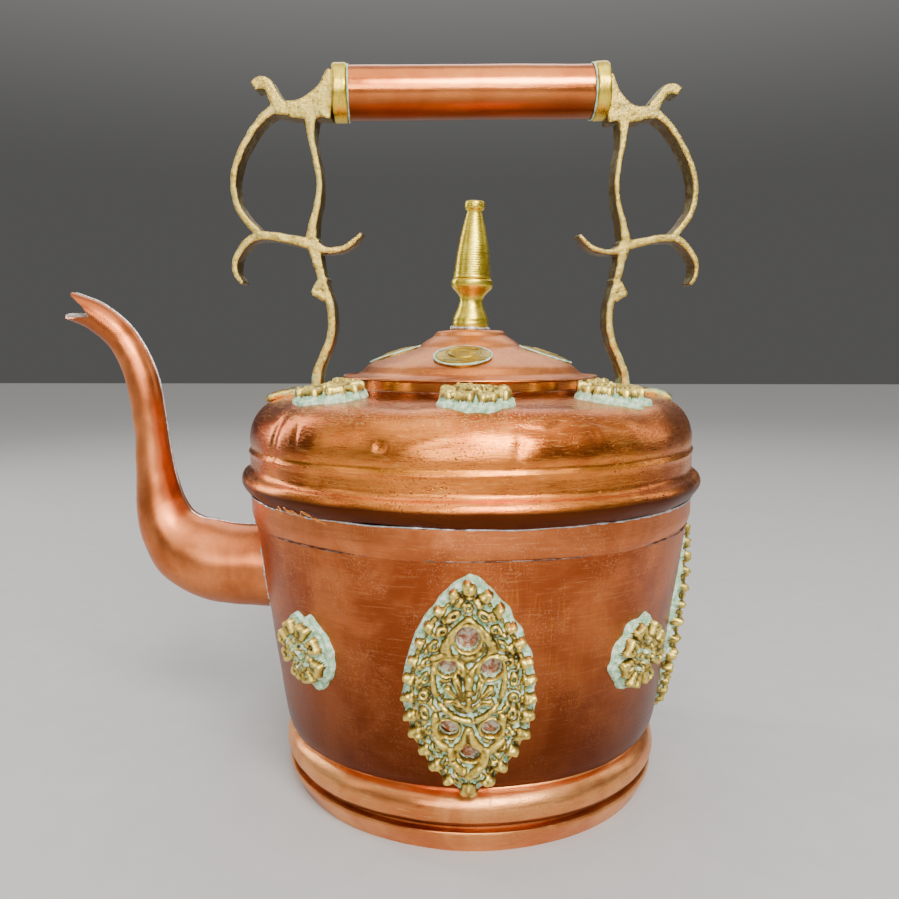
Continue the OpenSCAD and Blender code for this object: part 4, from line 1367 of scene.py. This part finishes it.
def tubeOutline(inner, outer, length, ease_=0.4):
    ring = [[inner, 0], [outer - ease_, 0], [outer, ease_], [outer, length / 2], [outer, length - ease_],
            [outer - ease_, length], [inner, length], [inner, length / 2], [inner, 0]]
    return evenly(rounded(ring, 0.4), 0.6 if length < 20 else 1.2)


addTurned(
    "gripTube", tubeOutline(handle["gripR"] - 1, handle["gripR"], 2 * handle["half"]), copperGrip,
    alongGrip(-handle["half"]), 120, [waves(111, 45, 0.08), waves(112, 14, 0.03)], slot="copper_grip",
    replaced=["grip_tube"],
)
for side, where in ((-1, "Left"), (1, "Right")):
    start = handle["half"] if side > 0 else -handle["half"] - handle["collar"]
    addTurned(
        "gripCollar" + where, tubeOutline(3, handle["gripR"] + 1.1, handle["collar"], 0.7), brassCollar,
        alongGrip(start), 120, [waves(113 + side, 16, 0.12)], slot="turned_brass",
        replaced=["grip_collar_" + where.lower()],
    )
    ring = circle(handle["gripR"] + 0.45, 0, 220)
    place = np.array(alongGrip(side * (handle["half"] - 0.5)))
    ring = ring @ place[:3, :3].T + place[:3, 3]
    addWire(
        "gripLime" + where, ring, 0.4, verdigris, seed=121 + side, rough=0.15, closed=True,
        slot="cast_brass",
    )
print("kettle: handle made")


# ---- lid ----

lid = {
    "sheet": 0.9, "studHole": 3.4, "discR": 13.7, "discSeat": 38.6, "discZ": 218.0, "discTilt": 18,
}


def lidLine():
    low, top = lidLow[2], lidHigh[2]
    edge = lidHigh[0]
    flange = [[edge - 1.4, low + 0.1], [edge - 0.2, low + 0.1], [edge, low + 0.5], [edge - 0.6, low + 1.1]]
    rise = curve([
        [61, 207.9], [58.4, 208.4], [56.3, 209.4], [54.5, 211.1], [52.5, 212.8], [49, 214.5], [45, 216],
        [38.5, 218.3], [32, 220.3], [27, 221.7],
    ], 5).tolist()
    step = [[26.3, 222.3], [24.8, 223.9], [22.8, 225.5], [20.4, 226.9], [19.2, 227.6], [17.8, 229.8],
            [16.4, top - 0.2], [10, top - 0.05], [lid["studHole"], top]]
    return rounded(flange + rise + step, 0.8)


addSheet(
    "lidShell", evenly(lidLine(), 0.65), copperLid, thickness=lid["sheet"], segments=360,
    lining=tinned, body="lid",
    slot="copper_spun", replaced=["lid_shell"], fields=[waves(131, 40, 0.16), waves(132, 14, 0.05)],
)


def discOutline(r):
    return rounded([
        [0, -2.2], [r - 0.6, -2.2], [r, -1.0], [r, 0.2], [r - 0.9, 0.9], [r - 3, 1.35], [r - 5.4, 1.7],
        [r - 5.9, 1.25], [r - 6.3, 1.3], [r - 7, 2.1], [r - 8.2, 2.2], [3.6, 1.7], [0, 1.6],
    ], 0.5)


lidDiscs = {"front": -95, "right": -5, "back": 85, "left": 175}
for i, (where, azimuth) in enumerate(lidDiscs.items()):
    a = math.radians(azimuth)
    seat = Matrix.Translation((lid["discSeat"] * math.cos(a), lid["discSeat"] * math.sin(a), lid["discZ"]))
    place = seat @ Matrix.Rotation(a, 4, "Z") @ Matrix.Rotation(math.radians(lid["discTilt"]), 4, "Y")
    addTurned("lidDisc" + where.title(), evenly(discOutline(lid["discR"]), 0.35), brassDisc, place, 96,
              [waves(141 + i, 12, 0.06)], body="lid", slot="turned_brass", replaced=["lid_disc_" + where])
    rim = circle(lid["discR"] + 0.1, 0.35, 260, 0.1, 151 + i)
    rim = rim @ np.array(place.to_3x3()).T + np.array(place.translation)
    addWire("discLime" + where.title(), rim, 0.42, verdigris, seed=161 + i, rough=0.2, closed=True, body="lid",
            slot="turned_brass")

finial = {"lean": 2.0, "top": lidHigh[2]}
finialLean = Matrix.Rotation(math.radians(finial["lean"]), 4, "Y")
finialPlace = Matrix.Translation((0, 0, finial["top"])) @ finialLean
baluster = [
    [2.6, 0.5], [8.6, 0.6], [9.1, 2], [9.3, 3.2], [9.0, 4.4], [9.1, 5.6], [8.2, 8], [6.9, 11], [6, 13.6],
    [5.9, 15.6], [6.6, 17.6], [8.4, 19.6], [10.1, 21.2], [10.7, 22.6], [10.75, 24.2], [10.5, 25.2],
    [9.8, 25.7], [2.6, 25.7],
]
cone = [
    [2.6, 25.75], [9.3, 25.8], [9.75, 26.4], [9.4, 27.2], [9.3, 29], [9.0, 33], [8.3, 39], [7, 46.4],
    [5.6, 52.6], [4.35, 57.6], [4.1, 58.4], [3.7, 59.1], [3.9, 60],
    [4.7, 60.7], [5.15, 61.5], [5.2, 62.8], [5.1, 63.9],
    [4.6, 64.7], [2.5, 65.1], [0, 65.2],
]


def toolRings(points, normals):
    return 0.05 * np.sin(points[..., 2] * 5.2) * (points[..., 2] > 26.5)


addTurned("finialBaluster", evenly(rounded(baluster, 0.9), 0.35), brassTurned, finialPlace, 96,
          [waves(171, 9, 0.03)], body="lid", slot="turned_brass", replaced=["finial_baluster"])
addTurned("finialCone", evenly(rounded(cone, 0.5), 0.3), brassTurned, finialPlace, 96,
          [waves(172, 9, 0.03), toolRings], body="lid", slot="turned_brass", replaced=["finial_cone"])
foot = circle(9.3, 0.6, 200, 0.1, 173) @ np.array(finialPlace.to_3x3()).T + np.array(finialPlace.translation)
addWire("finialSolder", foot, 1.0, solder, seed=175, rough=0.1, closed=True, body="lid", slot="solder",
        replaced=["finial_solder"])
print("kettle: lid made")


# ---- nodes that keep their own shape ----

kept = {
    "bottom_plate": copperBody, "grip_rod": steel, "lid_skirt": tinned,
    "finial_stud": steel, "finial_nut": brassTurned,
}
for name, finish in kept.items():
    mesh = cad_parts[name].data
    mesh.materials.clear()
    mesh.materials.append(finish)

# ---- floor, light and camera ----

studio = {"floor": 9.0, "sky": (1.0, 0.99, 0.97), "horizon": 0.09, "zenith": 0.75}


def addFloor():
    mesh = bpy.data.meshes.new("floor")
    half = studio["floor"] / 2
    corners = [(-half, -half, 0), (half, -half, 0), (half, half, 0), (-half, half, 0)]
    mesh.from_pydata(corners, [], [(0, 1, 2, 3)])
    floor = bpy.data.objects.new("floor", mesh)
    bpy.context.scene.collection.objects.link(floor)
    f = Finish("floor", Roughness=0.9)
    grain = f.noise(f.place(), 60.0, 4.0)
    mesh.materials.append(f.feed(Base_Color=f.blend(grain, (0.44, 0.435, 0.42), (0.50, 0.49, 0.475))))


def addLight(name, azimuth, elevation, distance, size, power, tone=(1, 1, 1)):
    # soft rectangular light, aimed at the middle of the kettle
    data = bpy.data.lights.new(name, "AREA")
    data.shape = "RECTANGLE"
    data.size, data.size_y = size
    data.energy = power
    data.color = tone
    light = bpy.data.objects.new(name, data)
    a, e = math.radians(azimuth), math.radians(elevation)
    aim = Vector((0, 0, 0.18))
    away = Vector((math.sin(a) * math.cos(e), -math.cos(a) * math.cos(e), math.sin(e)))
    light.location = aim + away * distance
    light.rotation_euler = away.to_track_quat("Z", "Y").to_euler()
    bpy.context.scene.collection.objects.link(light)


addFloor()


def addSky():
    # dim along the horizon, soft and bright overhead
    world = bpy.data.worlds.new("studio")
    world.use_nodes = True
    tree = world.node_tree
    way = tree.nodes.new("ShaderNodeTexCoord")
    parts = tree.nodes.new("ShaderNodeSeparateXYZ")
    lift = tree.nodes.new("ShaderNodeMapRange")
    lift.interpolation_type = "SMOOTHSTEP"
    lift.inputs["From Min"].default_value = 0.15
    lift.inputs["From Max"].default_value = 0.9
    lift.inputs["To Min"].default_value = studio["horizon"]
    lift.inputs["To Max"].default_value = studio["zenith"]
    sky = tree.nodes["Background"]
    sky.inputs["Color"].default_value = (*studio["sky"], 1)
    tree.links.new(way.outputs["Generated"], parts.inputs["Vector"])
    tree.links.new(parts.outputs["Z"], lift.inputs["Value"])
    tree.links.new(lift.outputs["Result"], sky.inputs["Strength"])
    bpy.context.scene.world = world


addSky()
addLight("key", 18, 38, 1.5, (0.62, 0.42), 26)
addLight("front", -6, 21, 1.6, (1.1, 0.3), 7)
addLight("overhead", 0, 76, 1.3, (1.5, 1.0), 7)
addLight("strip", -3, 15, 1.4, (0.9, 0.03), 3.4)
addLight("sideLeft", -115, 22, 1.5, (0.10, 1.1), 7)
addLight("frontLeft", -66, 24, 1.7, (0.3, 0.9), 2.2)
addLight("sideRight", 104, 24, 1.6, (0.16, 0.9), 2.2)
addLight("back", 178, 42, 1.6, (1.8, 0.8), 8)

camera = {
    "lens": 34.84, "sensor": 36.0, "pitch": 6.9, "yaw": 1.707,
    "place": (0, -0.454, 0.22348), "shift": 5.5 / 899,
}
cameraData = bpy.data.cameras.new("camera")
cameraData.lens = camera["lens"]
cameraData.sensor_width = camera["sensor"]
cameraData.shift_x = camera["shift"]
cameraData.clip_start = 0.01
view = bpy.data.objects.new("camera", cameraData)
view.location = camera["place"]
view.rotation_euler = (math.radians(90 - camera["pitch"]), 0, math.radians(camera["yaw"]))
bpy.context.scene.collection.objects.link(view)
bpy.context.scene.camera = view
print("kettle: studio made")
